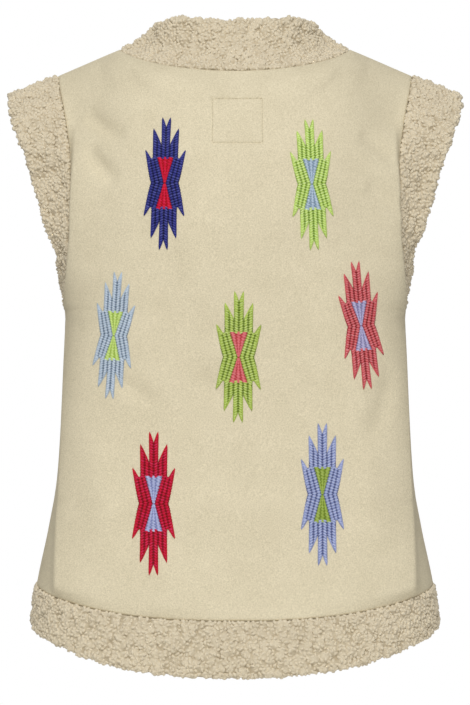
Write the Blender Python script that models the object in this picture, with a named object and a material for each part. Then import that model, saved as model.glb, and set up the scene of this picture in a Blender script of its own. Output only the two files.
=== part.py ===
"""Short sleeveless gilet in suede-look cloth with curled-pile trim, in the hollow form that it has worn.

Metres, +Z up. The wearer faces -Y, and the wearer's left is +X. The origin lies midway between
the two points where the shoulder seams meet the collar.
"""

import math
from collections import namedtuple

import bmesh
import bpy
import numpy as np

# Cloth and seams
SUEDE_THICK = 0.003
PILE_THICK = 0.007
PILE_PROUD = 0.002  # how far the pile stands out past the suede beside it
SEAM_GAP = 0.0005
BAND_GAP = 0.0010  # at the neck and armholes, where the cloth twists along the seam
FRONT_OPENING = 0.006  # between the two front edges

# Neckline and shoulder seams
NECK_HALF_WIDTH = 0.120
# Rounding above 1 levels the neckline where it meets the shoulder seam
Neck = namedtuple("Neck", "depth drop rounding")
BACK_NECK = Neck(0.078, 0.031, 1.3)
FRONT_NECK = Neck(-0.096, 0.112, 1.9)
SHOULDER_TIP_X = 0.188
SHOULDER_TIP_DROP = 0.028
NECK_SHARE = 0.64  # where the neck ends on the top row, as a share of the row

# Grid steps
NECK_COLUMNS = 9
SHOULDER_COLUMNS = 4
ROW_STEP = 0.034
ARMHOLE_STEP = 0.014
HEM_STEP = 0.018
BAND_STEPS = 4

# The side seam, from the hem up to the underarm
SideLevel = namedtuple("SideLevel", "height half_width")
SIDE_SEAM = (
    SideLevel(-0.603, 0.2130),  # hem edge
    SideLevel(-0.562, 0.2075),  # seam of the hem band
    SideLevel(-0.502, 0.1950),
    SideLevel(-0.446, 0.1855),
    SideLevel(-0.378, 0.1810),  # waist
    SideLevel(-0.314, 0.1785),
    SideLevel(-0.278, 0.1775),  # underarm
)
HEM_SEAM_ROW = 1
UNDERARM_ROW = len(SIDE_SEAM) - 1

ROW_SWEEP = 2.4  # how late a row climbs from its middle height to its edge height

# What each panel has in its middle at those levels. A row leaves the middle square on and bends round
# to its edge: a larger bow keeps it flat for longer, a smaller close turns it more sharply at the end.
MidLevel = namedtuple("MidLevel", "height depth bow close")
BACK_MIDDLE = (
    MidLevel(-0.6445, 0.134, 3.1, 0.33),
    MidLevel(-0.5885, 0.129, 3.3, 0.32),
    MidLevel(-0.526, 0.123, 3.4, 0.31),
    MidLevel(-0.458, 0.118, 3.4, 0.31),
    MidLevel(-0.385, 0.115, 3.2, 0.33),
    MidLevel(-0.318, 0.119, 3.0, 0.36),
    MidLevel(-0.279, 0.121, 2.9, 0.40),
)
FRONT_MIDDLE = (
    MidLevel(-0.628, -0.140, 2.8, 0.40),
    MidLevel(-0.573, -0.137, 2.8, 0.40),
    MidLevel(-0.514, -0.133, 2.8, 0.40),
    MidLevel(-0.453, -0.129, 2.7, 0.40),
    MidLevel(-0.384, -0.127, 2.6, 0.40),
    MidLevel(-0.318, -0.130, 2.6, 0.42),
    MidLevel(-0.281, -0.132, 2.6, 0.44),
)

# The rows that end on the armhole, from just above the underarm. Each would close at the base depth, and is
# cut off at the edge depth. Rise lifts the row below the end of the neck.
Row = namedtuple("Row", "edge_height half_width base edge_depth height depth bow close rise")
BACK_ARMHOLE = (
    Row(-0.2762, 0.1776, 0.000, 0.013, -0.2762, 0.1212, 2.9, 0.40, 0.000),
    Row(-0.266, 0.1780, 0.000, 0.033, -0.265, 0.1219, 2.9, 0.40, 0.000),
    Row(-0.240, 0.1787, 0.000, 0.054, -0.235, 0.1236, 2.9, 0.40, 0.001),
    Row(-0.188, 0.1690, 0.066, 0.066, -0.185, 0.125, 2.9, 1.00, 0.004),
    Row(-0.125, 0.1700, 0.064, 0.064, -0.135, 0.121, 2.5, 1.05, 0.012),
    Row(-0.074, 0.1765, 0.046, 0.046, -0.086, 0.108, 2.1, 1.40, 0.022),
)
FRONT_ARMHOLE = (
    Row(-0.2762, 0.1776, 0.000, -0.013, -0.279, -0.1321, 2.6, 0.44, 0.000),
    Row(-0.266, 0.1779, 0.000, -0.033, -0.269, -0.1323, 2.6, 0.44, 0.000),
    Row(-0.240, 0.1783, 0.000, -0.053, -0.246, -0.1312, 2.6, 0.44, 0.002),
    Row(-0.188, 0.1640, -0.064, -0.064, -0.207, -0.125, 2.8, 0.98, 0.012),
    Row(-0.125, 0.1650, -0.060, -0.060, -0.173, -0.117, 2.5, 1.10, 0.036),
    Row(-0.074, 0.1740, -0.042, -0.042, -0.146, -0.108, 2.2, 1.40, 0.060),
)

# One step below the top row: how far the cloth has moved out, back (on the front, forward) and down
Fall = namedtuple("Fall", "share out back down")
BACK_FALL = (
    Fall(0.0, 0.0000, 0.013, 0.020),
    Fall(NECK_SHARE, 0.0060, 0.026, 0.011),
    Fall(1.0, -0.0035, 0.021, 0.013),
)
FRONT_FALL = (
    Fall(0.0, 0.0000, 0.005, 0.014),
    Fall(NECK_SHARE, 0.0060, 0.026, 0.011),
    Fall(1.0, -0.0040, 0.019, 0.013),
)
CROWN = 0.4  # share of that step at which the rounding over the shoulder seam begins
CORNER_SPREAD = 0.16  # share of the row over which that step rounds off the corner at the end of the neck

# Armhole band: where its free edge lies from the seam, by height share from underarm to shoulder tip.
# Inward leans it towards the middle of the armhole.
ArmStation = namedtuple("ArmStation", "height_share width out inward up")
ARM_STATIONS = (
    ArmStation(0.00, 0.0360, 0.16, 0.00, 0.98),
    ArmStation(0.12, 0.0370, 0.36, 0.25, 0.80),
    ArmStation(0.30, 0.0385, 0.68, 0.36, 0.48),
    ArmStation(0.55, 0.0445, 0.90, 0.28, 0.15),
    ArmStation(0.75, 0.0525, 0.95, 0.15, -0.08),
    ArmStation(0.90, 0.0555, 0.95, 0.06, -0.25),
    ArmStation(1.00, 0.0545, 0.93, 0.00, -0.37),
)

# Collar: the same, by share of the way round the neck from the middle of the back to the front edge
CollarStation = namedtuple("CollarStation", "way_round width inward up")
COLLAR_STATIONS = (
    CollarStation(0.00, 0.061, 0.42, 0.91),
    CollarStation(0.22, 0.058, 0.50, 0.86),
    CollarStation(0.45, 0.047, 0.80, 0.60),
    CollarStation(0.70, 0.054, 0.55, 0.83),
    CollarStation(1.00, 0.056, 0.28, 0.96),
)

SUEDE_COLOUR = (0.69, 0.61, 0.44)
PILE_COLOUR = (0.60, 0.50, 0.36)


def unit(vectors):
    return vectors / np.linalg.norm(vectors, axis=-1, keepdims=True)


def mirrored(points):
    return points * np.array([-1.0, 1.0, 1.0])


def smooth_through(knots, values, at):
    """A curve through values at increasing knots that does not overshoot them, read along the first axis."""
    knots, values, at = (np.asarray(item, float) for item in (knots, values, at))
    column = (-1, *[1] * (values.ndim - 1))
    steps = np.diff(knots).reshape(column)
    slopes = np.diff(values, axis=0) / steps
    before, after = slopes[:-1], slopes[1:]
    near, far = 2 * steps[1:] + steps[:-1], steps[1:] + 2 * steps[:-1]
    same_way = before * after > 0
    spread = np.where(same_way, near * after + far * before, 1.0)
    inner = np.where(same_way, (near + far) * before * after / spread, 0.0)
    tangents = np.concatenate([slopes[:1], inner, slopes[-1:]])
    left = np.clip(np.searchsorted(knots, at, side="right") - 1, 0, len(knots) - 2)
    t = (at - knots[left]).reshape(column) / steps[left]
    leave, arrive = tangents[left] * steps[left], tangents[left + 1] * steps[left]
    start, end = values[left], values[left + 1]
    ease = 3 * t**2 - 2 * t**3
    return start + (end - start) * ease + leave * (t**3 - 2 * t**2 + t) + arrive * (t**3 - t**2)


def along(points):
    """How far along a line of points each one lies."""
    return np.concatenate([[0], np.cumsum(np.linalg.norm(np.diff(points, axis=0), axis=1))])


def evenly(line, shares):
    """The points at some shares of the length of a line."""
    length = along(line)
    return np.stack([np.interp(shares * length[-1], length, axis) for axis in line.T], axis=1)


def row_line(row, shares):
    """Points on one row, evenly spaced along the cloth from the middle, share 0, to the edge, share 1."""
    reach = 1 - (1 - np.linspace(0, 1, 400)) ** 3
    depth = row.base + (row.depth - row.base) * (1 - reach**row.bow) ** row.close
    peak = math.log(0.5) / math.log(NECK_SHARE)
    lift = row.rise * np.sin(math.pi * reach**peak) ** 2
    height = row.height + (row.edge_height - row.height) * reach**ROW_SWEEP + lift
    line = np.stack([row.half_width * reach, depth, height], axis=1)
    length = along(line)
    kept = np.interp(-abs(row.edge_depth), -np.abs(depth), length)
    return evenly(line, shares * kept / length[-1])


def top_line(neck, shares):
    """The top row: round the neck to the end of the collar, then down the shoulder seam."""
    turn = np.linspace(0, math.pi / 2, 200)
    around = np.clip(np.cos(turn), 0, 1)
    height = -neck.drop * around**neck.rounding
    neckline = np.stack([NECK_HALF_WIDTH * np.sin(turn), neck.depth * around, height], axis=1)
    neck_end, tip = neckline[-1], np.array([SHOULDER_TIP_X, 0.0, -SHOULDER_TIP_DROP])
    run = np.clip((shares - NECK_SHARE) / (1 - NECK_SHARE), 0, 1)
    return evenly(neckline, np.clip(shares / NECK_SHARE, 0, 1)) + (tip - neck_end) * run[:, None]


class Form:
    """The outer face of the back or of the front: its half on the +X side, from the middle to the edge."""

    def __init__(self, middle, armhole, fall, neck):
        side = zip(SIDE_SEAM, middle)
        low = [Row(s.height, s.half_width, 0.0, 0.0, m.height, m.depth, m.bow, m.close, 0.0) for s, m in side]
        self.rows = [*low, *armhole]
        self.fall = np.array(fall)
        self.neck = neck
        self.facing = math.copysign(1.0, neck.depth)
        top = -(neck.drop + SHOULDER_TIP_DROP) / 2
        fallen = top - (fall[0].down + fall[-1].down) / 2
        levels = [(row.height + row.edge_height) / 2 for row in self.rows]
        self.levels = [*levels, fallen, top - CROWN * (top - fallen), top]

    def points(self, shares, levels):
        """An array of points, one row for each level and one column for each share."""
        shares = np.asarray(shares, float)
        top = top_line(self.neck, shares)
        step = smooth_through(self.fall[:, 0], self.fall[:, 1:], shares) * np.array([1.0, self.facing, -1.0])
        over_shoulder = np.clip(shares / NECK_SHARE, 0, 1) ** 2
        crown = step * CROWN
        crown[:, 2] *= CROWN**over_shoulder
        spread = np.linspace(-CORNER_SPREAD, CORNER_SPREAD, 9)[:, None] * np.sin(math.pi * shares) ** 2
        rounded = np.mean([top_line(self.neck, shares + shift) for shift in spread], axis=0)
        lines = [row_line(row, shares) for row in self.rows] + [rounded + step, top + crown, top]
        found = smooth_through(self.levels, np.stack(lines), levels)
        found[..., 1] += self.facing * SEAM_GAP / 2
        return found

    def outward(self, shares, levels):
        """The directions square to the cloth at those points."""
        shares, levels = np.asarray(shares, float), np.asarray(levels, float)
        reach = 0.002
        nearer, further = np.maximum(shares - reach, 0), np.minimum(shares + reach, 1)
        lower, upper = levels - reach, np.minimum(levels + reach, self.levels[-1])
        ahead = self.points(further, levels) - self.points(nearer, levels)
        up = self.points(shares, upper) - self.points(shares, lower)
        return unit(np.cross(up, ahead)) * self.facing


BACK = Form(BACK_MIDDLE, BACK_ARMHOLE, BACK_FALL, BACK_NECK)
FRONT = Form(FRONT_MIDDLE, FRONT_ARMHOLE, FRONT_FALL, FRONT_NECK)

# Shares of the columns from the middle to the edge, with one where the neck ends
NECK_SHARES = np.linspace(0, NECK_SHARE, NECK_COLUMNS + 1)
SHARES = np.concatenate([NECK_SHARES, np.linspace(NECK_SHARE, 1, SHOULDER_COLUMNS + 1)[1:]])


def levels_between(form, low, high, step):
    """Levels about a step apart, with one on each of the form's own rows."""
    knots = [low, *[level for level in form.levels if low < level < high], high]
    pieces = [np.linspace(a, b, max(1, round((b - a) / step)) + 1)[:-1] for a, b in zip(knots, knots[1:])]
    return np.concatenate([*pieces, [high]])


def hem_levels(form):
    return levels_between(form, form.levels[0], form.levels[HEM_SEAM_ROW] - SEAM_GAP / 2, HEM_STEP)


def armhole_levels(form):
    return levels_between(form, form.levels[UNDERARM_ROW], form.levels[-1], ARMHOLE_STEP)


def panel_levels(form):
    low = levels_between(form, form.levels[HEM_SEAM_ROW] + SEAM_GAP / 2, form.levels[UNDERARM_ROW], ROW_STEP)
    return np.concatenate([low[:-1], armhole_levels(form)])


def part_fronts(points, shares):
    """Moves the points near the middle of a front aside, so that the front stands open."""
    points[..., 0] += (1 - shares) ** 4 * FRONT_OPENING / 2
    return points


def back_surface(levels):
    """The whole back at some levels, from the wearer's left to the right: points and directions square on."""
    halves = BACK.points(SHARES, levels), BACK.outward(SHARES, levels)
    return [np.concatenate([half[:, :0:-1], mirrored(half)], axis=1) for half in halves]


def front_surface(levels, side):
    """One front at some levels in the same way. Side is 1 for the wearer's left and -1 for the right."""
    halves = part_fronts(FRONT.points(SHARES, levels), SHARES), FRONT.outward(SHARES, levels)
    return [half if side > 0 else mirrored(half[:, ::-1]) for half in halves]


def band(seam, outward, free_edge, closed):
    """A band that leaves its seam in line with the cloth and bends to its free edge, given from the seam."""

    def ahead(line):
        return np.roll(line, -1, axis=0) - np.roll(line, 1, axis=0) if closed else np.gradient(line, axis=0)

    leave = unit(np.cross(outward, ahead(seam)))
    width = np.linalg.norm(free_edge, axis=1, keepdims=True)
    points, square = [], []
    for v in np.linspace(0, 1, BAND_STEPS):
        line = seam + BAND_GAP * leave + width * leave * v * (1 - v) + free_edge * v**2
        across = width * leave * (1 - 2 * v) + 2 * v * free_edge
        points.append(line)
        square.append(unit(np.cross(ahead(line), across)))
    ends = [0] if closed else []
    return [np.concatenate([grid, np.array(grid)[:, ends]], axis=1) for grid in (points, square)]


def joined(one, other):
    """A line that runs up one and on down the other, which meet at a seam."""
    return np.concatenate([one[:-1], [(one[-1] + other[-1]) / 2], other[-2::-1]])


def armhole_line(form):
    """The armhole edge of a form from underarm to shoulder tip, and the directions square to the cloth."""
    levels = armhole_levels(form)
    return form.points([1.0], levels)[:, 0], form.outward([1.0], levels)[:, 0]


def armhole_band():
    """The left armhole band: up the back of the armhole, over the shoulder and down the front."""
    seam, outward = (joined(back, front) for back, front in zip(armhole_line(BACK), armhole_line(FRONT)))
    seam[0], outward[0] = (seam[0] + seam[-1]) / 2, (outward[0] + outward[-1]) / 2
    seam, outward = seam[:-1], unit(outward[:-1])
    low, high = seam[:, 2].min(), seam[:, 2].max()
    table = np.array(ARM_STATIONS)
    width, out, inward, up = smooth_through(table[:, 0], table[:, 1:], (seam[:, 2] - low) / (high - low)).T
    towards_middle = -seam[:, 1] / np.abs(seam[:, 1]).max()
    lean = unit(np.stack([out, inward * towards_middle, up], axis=1))
    return band(seam, outward, lean * width[:, None], closed=True)


def neck_line(form):
    """The neckline of a form from the middle to the shoulder seam, and the directions square to the cloth."""
    line = form.points(NECK_SHARES, form.levels[-1:])[0]
    if form is FRONT:
        line = part_fronts(line, NECK_SHARES)
    return line, form.outward(NECK_SHARES, form.levels[-1:])[0]


def collar():
    """The collar: from the wearer's left front edge round the back of the neck to the right front edge."""
    seam, outward = (joined(back, front) for back, front in zip(neck_line(BACK), neck_line(FRONT)))
    length = along(seam)
    table = np.array(COLLAR_STATIONS)
    width, inward, up = smooth_through(table[:, 0], table[:, 1:], length / length[-1]).T
    to_axis = unit(seam * np.array([-1.0, -1.0, 0.0]))
    to_axis[-1, 0] = 0.0
    lean = to_axis * inward[:, None] + np.array([0.0, 0.0, 1.0]) * up[:, None]
    free_edge = unit(lean) * width[:, None]
    halves = [(half[::-1], mirrored(half[1:])) for half in (seam, unit(outward), free_edge)]
    return band(*[np.concatenate(pair) for pair in halves], closed=False)


def material(name, colour, roughness):
    made = bpy.data.materials.new(name)
    made.use_nodes = True
    shader = made.node_tree.nodes["Principled BSDF"]
    shader.inputs["Base Color"].default_value = (*colour, 1.0)
    shader.inputs["Roughness"].default_value = roughness
    shader.inputs["Metallic"].default_value = 0.0
    return made


def cloth(name, surface, thick, proud, finish, seam_side=0, closed=False):
    """A cloth wall on a surface of points and directions: proud of its thickness lies outside the points.

    A flat slab of two layers is shaped to the surface. Seam_side keeps it on its own side of the side and
    shoulder seams, which lie in the plane y = 0. Closed joins its first column to its last.
    """
    points, outward = surface
    layers = [points + (proud - thick) * outward, points + proud * outward]
    if seam_side:
        for layer in layers:
            layer[..., 1] = seam_side * np.maximum(seam_side * layer[..., 1], SEAM_GAP / 2)
    rows, columns = points.shape[:2]
    slab = bmesh.new()
    bmesh.ops.create_grid(slab, x_segments=columns - 1, y_segments=rows - 1, size=0.5)
    lower = bmesh.ops.extrude_face_region(slab, geom=slab.faces[:], use_keep_orig=True)["geom"]
    bmesh.ops.translate(slab, verts=[v for v in lower if isinstance(v, bmesh.types.BMVert)], vec=(0, 0, -1))
    if closed:
        ends = [face for face in slab.faces if all(abs(abs(v.co.x) - 0.5) < 1e-6 for v in face.verts)]
        bmesh.ops.delete(slab, geom=ends, context="FACES")
    for vert in slab.verts:
        column = round((vert.co.x + 0.5) * (columns - 1))
        row = round((vert.co.y + 0.5) * (rows - 1))
        vert.co = layers[vert.co.z > -0.5][row, column]
    if closed:
        bmesh.ops.remove_doubles(slab, verts=slab.verts, dist=0.00005)
    bmesh.ops.triangulate(slab, faces=slab.faces, quad_method="SHORT_EDGE")
    bmesh.ops.recalc_face_normals(slab, faces=slab.faces)
    if slab.calc_volume(signed=True) < 0:
        bmesh.ops.reverse_faces(slab, faces=slab.faces)
    mesh = bpy.data.meshes.new(name)
    slab.to_mesh(mesh)
    slab.free()
    mesh.materials.append(finish)
    piece = bpy.data.objects.new(name, mesh)
    PARTS.objects.link(piece)
    return piece


for old in list(bpy.data.objects):
    bpy.data.objects.remove(old)
PARTS = bpy.data.collections.new("gilet")
bpy.context.scene.collection.children.link(PARTS)

suede = material("suede_cloth", SUEDE_COLOUR, 0.95)
pile = material("curled_pile", PILE_COLOUR, 1.0)
SIDES = (("left", 1), ("right", -1))

# Suede panels
cloth("back_panel", back_surface(panel_levels(BACK)), SUEDE_THICK, 0.0, suede, 1)
for name, side in SIDES:
    cloth(f"front_{name}", front_surface(panel_levels(FRONT), side), SUEDE_THICK, 0.0, suede, -1)

# Pile bands round the hem, joined at the side seams
cloth("hem_band_back", back_surface(hem_levels(BACK)), PILE_THICK, PILE_PROUD, pile, 1)
for name, side in SIDES:
    cloth(f"hem_band_front_{name}", front_surface(hem_levels(FRONT), side), PILE_THICK, PILE_PROUD, pile, -1)

# Pile bands round the armholes
left = armhole_band()
right = [mirrored(grid[:, ::-1]) for grid in left]
cloth("armhole_band_left", left, PILE_THICK, PILE_PROUD, pile, closed=True)
cloth("armhole_band_right", right, PILE_THICK, PILE_PROUD, pile, closed=True)

# Pile collar
cloth("collar", collar(), PILE_THICK, PILE_PROUD, pile)
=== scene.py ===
"""Looks of a short sleeveless gilet: suede-look panels, curled-pile trim and seven embroidered motifs.

Metres, +Z up. The wearer faces -Y and the wearer's left is +X, so the embroidered back faces +Y.
"""

import math
from collections import namedtuple

import bmesh
import bpy
import numpy as np
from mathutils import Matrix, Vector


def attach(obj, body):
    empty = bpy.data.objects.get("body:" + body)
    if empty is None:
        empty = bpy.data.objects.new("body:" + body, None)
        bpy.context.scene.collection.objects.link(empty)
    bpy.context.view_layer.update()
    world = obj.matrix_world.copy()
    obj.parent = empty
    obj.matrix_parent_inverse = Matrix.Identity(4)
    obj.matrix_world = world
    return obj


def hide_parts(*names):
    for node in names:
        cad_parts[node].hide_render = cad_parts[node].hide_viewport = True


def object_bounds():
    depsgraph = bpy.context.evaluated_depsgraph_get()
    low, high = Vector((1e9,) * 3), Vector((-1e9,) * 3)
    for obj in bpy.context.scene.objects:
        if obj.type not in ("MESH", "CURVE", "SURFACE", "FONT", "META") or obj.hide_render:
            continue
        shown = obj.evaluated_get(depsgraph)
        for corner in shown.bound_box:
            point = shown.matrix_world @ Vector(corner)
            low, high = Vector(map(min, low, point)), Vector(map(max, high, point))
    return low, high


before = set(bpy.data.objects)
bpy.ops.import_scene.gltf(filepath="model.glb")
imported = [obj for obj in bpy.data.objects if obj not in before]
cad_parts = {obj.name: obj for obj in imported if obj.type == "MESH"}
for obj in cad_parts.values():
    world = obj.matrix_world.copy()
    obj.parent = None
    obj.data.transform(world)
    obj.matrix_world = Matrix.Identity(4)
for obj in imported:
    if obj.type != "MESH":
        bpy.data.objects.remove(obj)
cad_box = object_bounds()

# The back panel
# One piece of bonded suede-look cloth, 3 mm thick, cut from the collar seam down to the hem seam and round to
# the side seams. Its edges are turned in at every seam, and it folds softly where it turns to the sides.
SEAM_GAP = 0.0005
NECK_HALF_WIDTH = 0.120
Neck = namedtuple("Neck", "depth drop rounding")
BACK_NECK = Neck(0.078, 0.031, 1.3)
SHOULDER_TIP_X = 0.188
SHOULDER_TIP_DROP = 0.028
NECK_SHARE = 0.64  # where the neck ends on the top row, as a share of the row
SideLevel = namedtuple("SideLevel", "height half_width")
SIDE_SEAM = (
    SideLevel(-0.603, 0.2130),  # hem edge
    SideLevel(-0.562, 0.2075),  # seam of the hem band
    SideLevel(-0.502, 0.1950),
    SideLevel(-0.446, 0.1855),
    SideLevel(-0.378, 0.1810),  # waist
    SideLevel(-0.314, 0.1785),
    SideLevel(-0.278, 0.1775),  # underarm
)
HEM_SEAM_ROW = 1
UNDERARM_ROW = len(SIDE_SEAM) - 1
ROW_SWEEP = 2.4  # how late a row climbs from its middle height to its edge height
MidLevel = namedtuple("MidLevel", "height depth bow close")
BACK_MIDDLE = (
    MidLevel(-0.6445, 0.134, 3.1, 0.33),
    MidLevel(-0.5885, 0.129, 3.3, 0.32),
    MidLevel(-0.526, 0.123, 3.4, 0.31),
    MidLevel(-0.458, 0.118, 3.4, 0.31),
    MidLevel(-0.385, 0.115, 3.2, 0.33),
    MidLevel(-0.318, 0.119, 3.0, 0.36),
    MidLevel(-0.279, 0.121, 2.9, 0.40),
)
# The rows that end on the armhole would close at the base depth, and are cut off at the edge depth
Row = namedtuple("Row", "edge_height half_width base edge_depth height depth bow close rise")
BACK_ARMHOLE = (
    Row(-0.2762, 0.1776, 0.000, 0.013, -0.2762, 0.1212, 2.9, 0.40, 0.000),
    Row(-0.266, 0.1780, 0.000, 0.033, -0.265, 0.1219, 2.9, 0.40, 0.000),
    Row(-0.240, 0.1787, 0.000, 0.054, -0.235, 0.1236, 2.9, 0.40, 0.001),
    Row(-0.188, 0.1690, 0.066, 0.066, -0.185, 0.125, 2.9, 1.00, 0.004),
    Row(-0.125, 0.1700, 0.064, 0.064, -0.135, 0.121, 2.5, 1.05, 0.012),
    Row(-0.074, 0.1765, 0.046, 0.046, -0.086, 0.108, 2.1, 1.40, 0.022),
)
# One step below the top row: how far the cloth has moved out, back (on the front, forward) and down
Fall = namedtuple("Fall", "share out back down")
BACK_FALL = (
    Fall(0.0, 0.0000, 0.013, 0.020),
    Fall(NECK_SHARE, 0.0060, 0.026, 0.011),
    Fall(1.0, -0.0035, 0.021, 0.013),
)
CROWN = 0.4  # share of that step at which the rounding over the shoulder seam begins
CORNER_SPREAD = 0.16  # share of the row over which that step rounds off the corner at the end of the neck
CORNER_READINGS = 9  # places in that share that the rounding is averaged from
ROW_READINGS = 400  # points that a row is worked out on before they are spaced evenly
EDGE_BIAS = 3  # how much closer those points stand towards the edge
NECK_READINGS = 200
SQUARE_REACH = 0.002  # how far to each side the form is read for the direction square to it

SUEDE_THICK = 0.003
SUEDE_STEP = 0.0044
EDGE_STEPS = np.array([0.0042, 0.0028, 0.0016, 0.0007, 0.0])  # rows and columns this near to an edge
EDGE_ROUND = 0.0036  # how near to a seam the cloth turns in
EDGE_TURN = 0.0021  # how deep it turns in
SEAM_SLIT = 0.0001  # what is left open between two panels
SEAM_FADE = 0.012  # how near to a seam a crease runs out
HEM_FADE = 0.012  # the same at the hem's seam
MERGE_REACH = 0.00002  # points of a mesh as near as this become one
MEAN_HALF_ROW = 0.23
FOLD_START = 0.58  # share of a row past which the columns stand closer, for the folds at the sides
FOLD_STEP = 0.0022
FOLD_ROUND = 0.0016  # how softly the edge of a fold is rounded
FOLD_REACH = 0.045  # how far in from its edge a fold lifts the cloth
FOLD_RUN_OUT = 0.4  # how gently a fold runs out towards its ends
CREASE_RUN_OUT = 0.7  # the same for the other creases

# Across runs along the cloth from the middle of the back, towards the wearer's left. Bend bows the crease
# aside. A fold lifts the cloth slowly up to its edge, then drops within its width.
Crease = namedtuple(
    "Crease", "across_top height_top across_low height_low bend width rise fold", defaults=[False]
)
BACK_CREASES = (
    Crease(0.180, -0.085, 0.198, -0.285, -0.008, 0.034, 0.0120),  # slack beside the wearer's left armhole
    Crease(-0.180, -0.085, -0.198, -0.285, 0.008, 0.034, 0.0130),  # slack beside the right armhole
    Crease(0.212, -0.225, 0.222, -0.470, 0.004, 0.020, 0.0090, True),  # fullness at the waist's sides
    Crease(-0.212, -0.225, -0.222, -0.470, -0.004, 0.020, 0.0175, True),
    Crease(0.2160, -0.300, 0.1880, -0.595, 0.0030, 0.0065, 0.0175, True),  # fold at the wearer's left side
    Crease(-0.2155, -0.300, -0.1872, -0.600, -0.0030, 0.0065, 0.0185, True),  # fold at the right side
    Crease(0.170, -0.074, 0.116, -0.102, 0.003, 0.0085, -0.0060),  # drag lines towards the armholes
    Crease(0.162, -0.110, 0.124, -0.148, 0.003, 0.0090, -0.0056),
    Crease(-0.134, -0.098, -0.178, -0.128, -0.003, 0.0085, -0.0052),
    Crease(-0.138, -0.150, -0.178, -0.176, -0.003, 0.0100, -0.0044),
    Crease(0.122, -0.345, 0.076, -0.374, 0.003, 0.0090, -0.0040),  # slack at the waist
    Crease(-0.172, -0.330, -0.110, -0.430, -0.012, 0.0150, -0.0040),
    Crease(0.048, -0.180, 0.010, -0.300, 0.006, 0.0180, 0.0034),  # faint slack between the motifs
    Crease(0.040, -0.338, 0.004, -0.372, 0.003, 0.0085, -0.0036),
    Crease(-0.040, -0.200, -0.085, -0.290, -0.006, 0.0150, -0.0038),
    Crease(-0.128, -0.360, -0.150, -0.520, 0.006, 0.0200, 0.0036),
    Crease(0.150, -0.400, 0.128, -0.540, -0.005, 0.0200, 0.0036),
    Crease(0.060, -0.520, 0.074, -0.640, 0.004, 0.0260, 0.0036),  # slack over the hem
    Crease(-0.030, -0.480, -0.050, -0.620, -0.006, 0.0260, -0.0036),
)


def unit(vectors):
    return vectors / np.linalg.norm(vectors, axis=-1, keepdims=True)


def mirrored(points):
    return points * np.array([-1.0, 1.0, 1.0])


def smooth_through(knots, values, at):
    """A curve through values at increasing knots that does not overshoot them, read along the first axis."""
    knots, values, at = (np.asarray(item, float) for item in (knots, values, at))
    column = (-1, *[1] * (values.ndim - 1))
    steps = np.diff(knots).reshape(column)
    slopes = np.diff(values, axis=0) / steps
    before, after = slopes[:-1], slopes[1:]
    near, far = 2 * steps[1:] + steps[:-1], steps[1:] + 2 * steps[:-1]
    same_way = before * after > 0
    spread = np.where(same_way, near * after + far * before, 1.0)
    inner = np.where(same_way, (near + far) * before * after / spread, 0.0)
    tangents = np.concatenate([slopes[:1], inner, slopes[-1:]])
    left = np.clip(np.searchsorted(knots, at, side="right") - 1, 0, len(knots) - 2)
    t = (at - knots[left]).reshape(column) / steps[left]
    leave, arrive = tangents[left] * steps[left], tangents[left + 1] * steps[left]
    start, end = values[left], values[left + 1]
    ease = 3 * t**2 - 2 * t**3
    return start + (end - start) * ease + leave * (t**3 - 2 * t**2 + t) + arrive * (t**3 - t**2)


def along(points):
    """How far along a line of points each one lies."""
    return np.concatenate([[0], np.cumsum(np.linalg.norm(np.diff(points, axis=0), axis=1))])


def evenly(line, shares):
    """The points at some shares of the length of a line."""
    length = along(line)
    return np.stack([np.interp(shares * length[-1], length, axis) for axis in line.T], axis=1)


def row_line(row, shares):
    """Points on one row, evenly spaced along the cloth from the middle, share 0, to the edge, share 1."""
    reach = 1 - (1 - np.linspace(0, 1, ROW_READINGS)) ** EDGE_BIAS
    depth = row.base + (row.depth - row.base) * (1 - reach**row.bow) ** row.close
    peak = math.log(0.5) / math.log(NECK_SHARE)
    lift = row.rise * np.sin(math.pi * reach**peak) ** 2
    height = row.height + (row.edge_height - row.height) * reach**ROW_SWEEP + lift
    line = np.stack([row.half_width * reach, depth, height], axis=1)
    length = along(line)
    kept = np.interp(-abs(row.edge_depth), -np.abs(depth), length)
    return evenly(line, shares * kept / length[-1])


def top_line(neck, shares):
    """The top row: round the neck to the end of the collar, then down the shoulder seam."""
    turn = np.linspace(0, math.pi / 2, NECK_READINGS)
    around = np.clip(np.cos(turn), 0, 1)
    height = -neck.drop * around**neck.rounding
    neckline = np.stack([NECK_HALF_WIDTH * np.sin(turn), neck.depth * around, height], axis=1)
    neck_end, tip = neckline[-1], np.array([SHOULDER_TIP_X, 0.0, -SHOULDER_TIP_DROP])
    run = np.clip((shares - NECK_SHARE) / (1 - NECK_SHARE), 0, 1)
    return evenly(neckline, np.clip(shares / NECK_SHARE, 0, 1)) + (tip - neck_end) * run[:, None]


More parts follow.
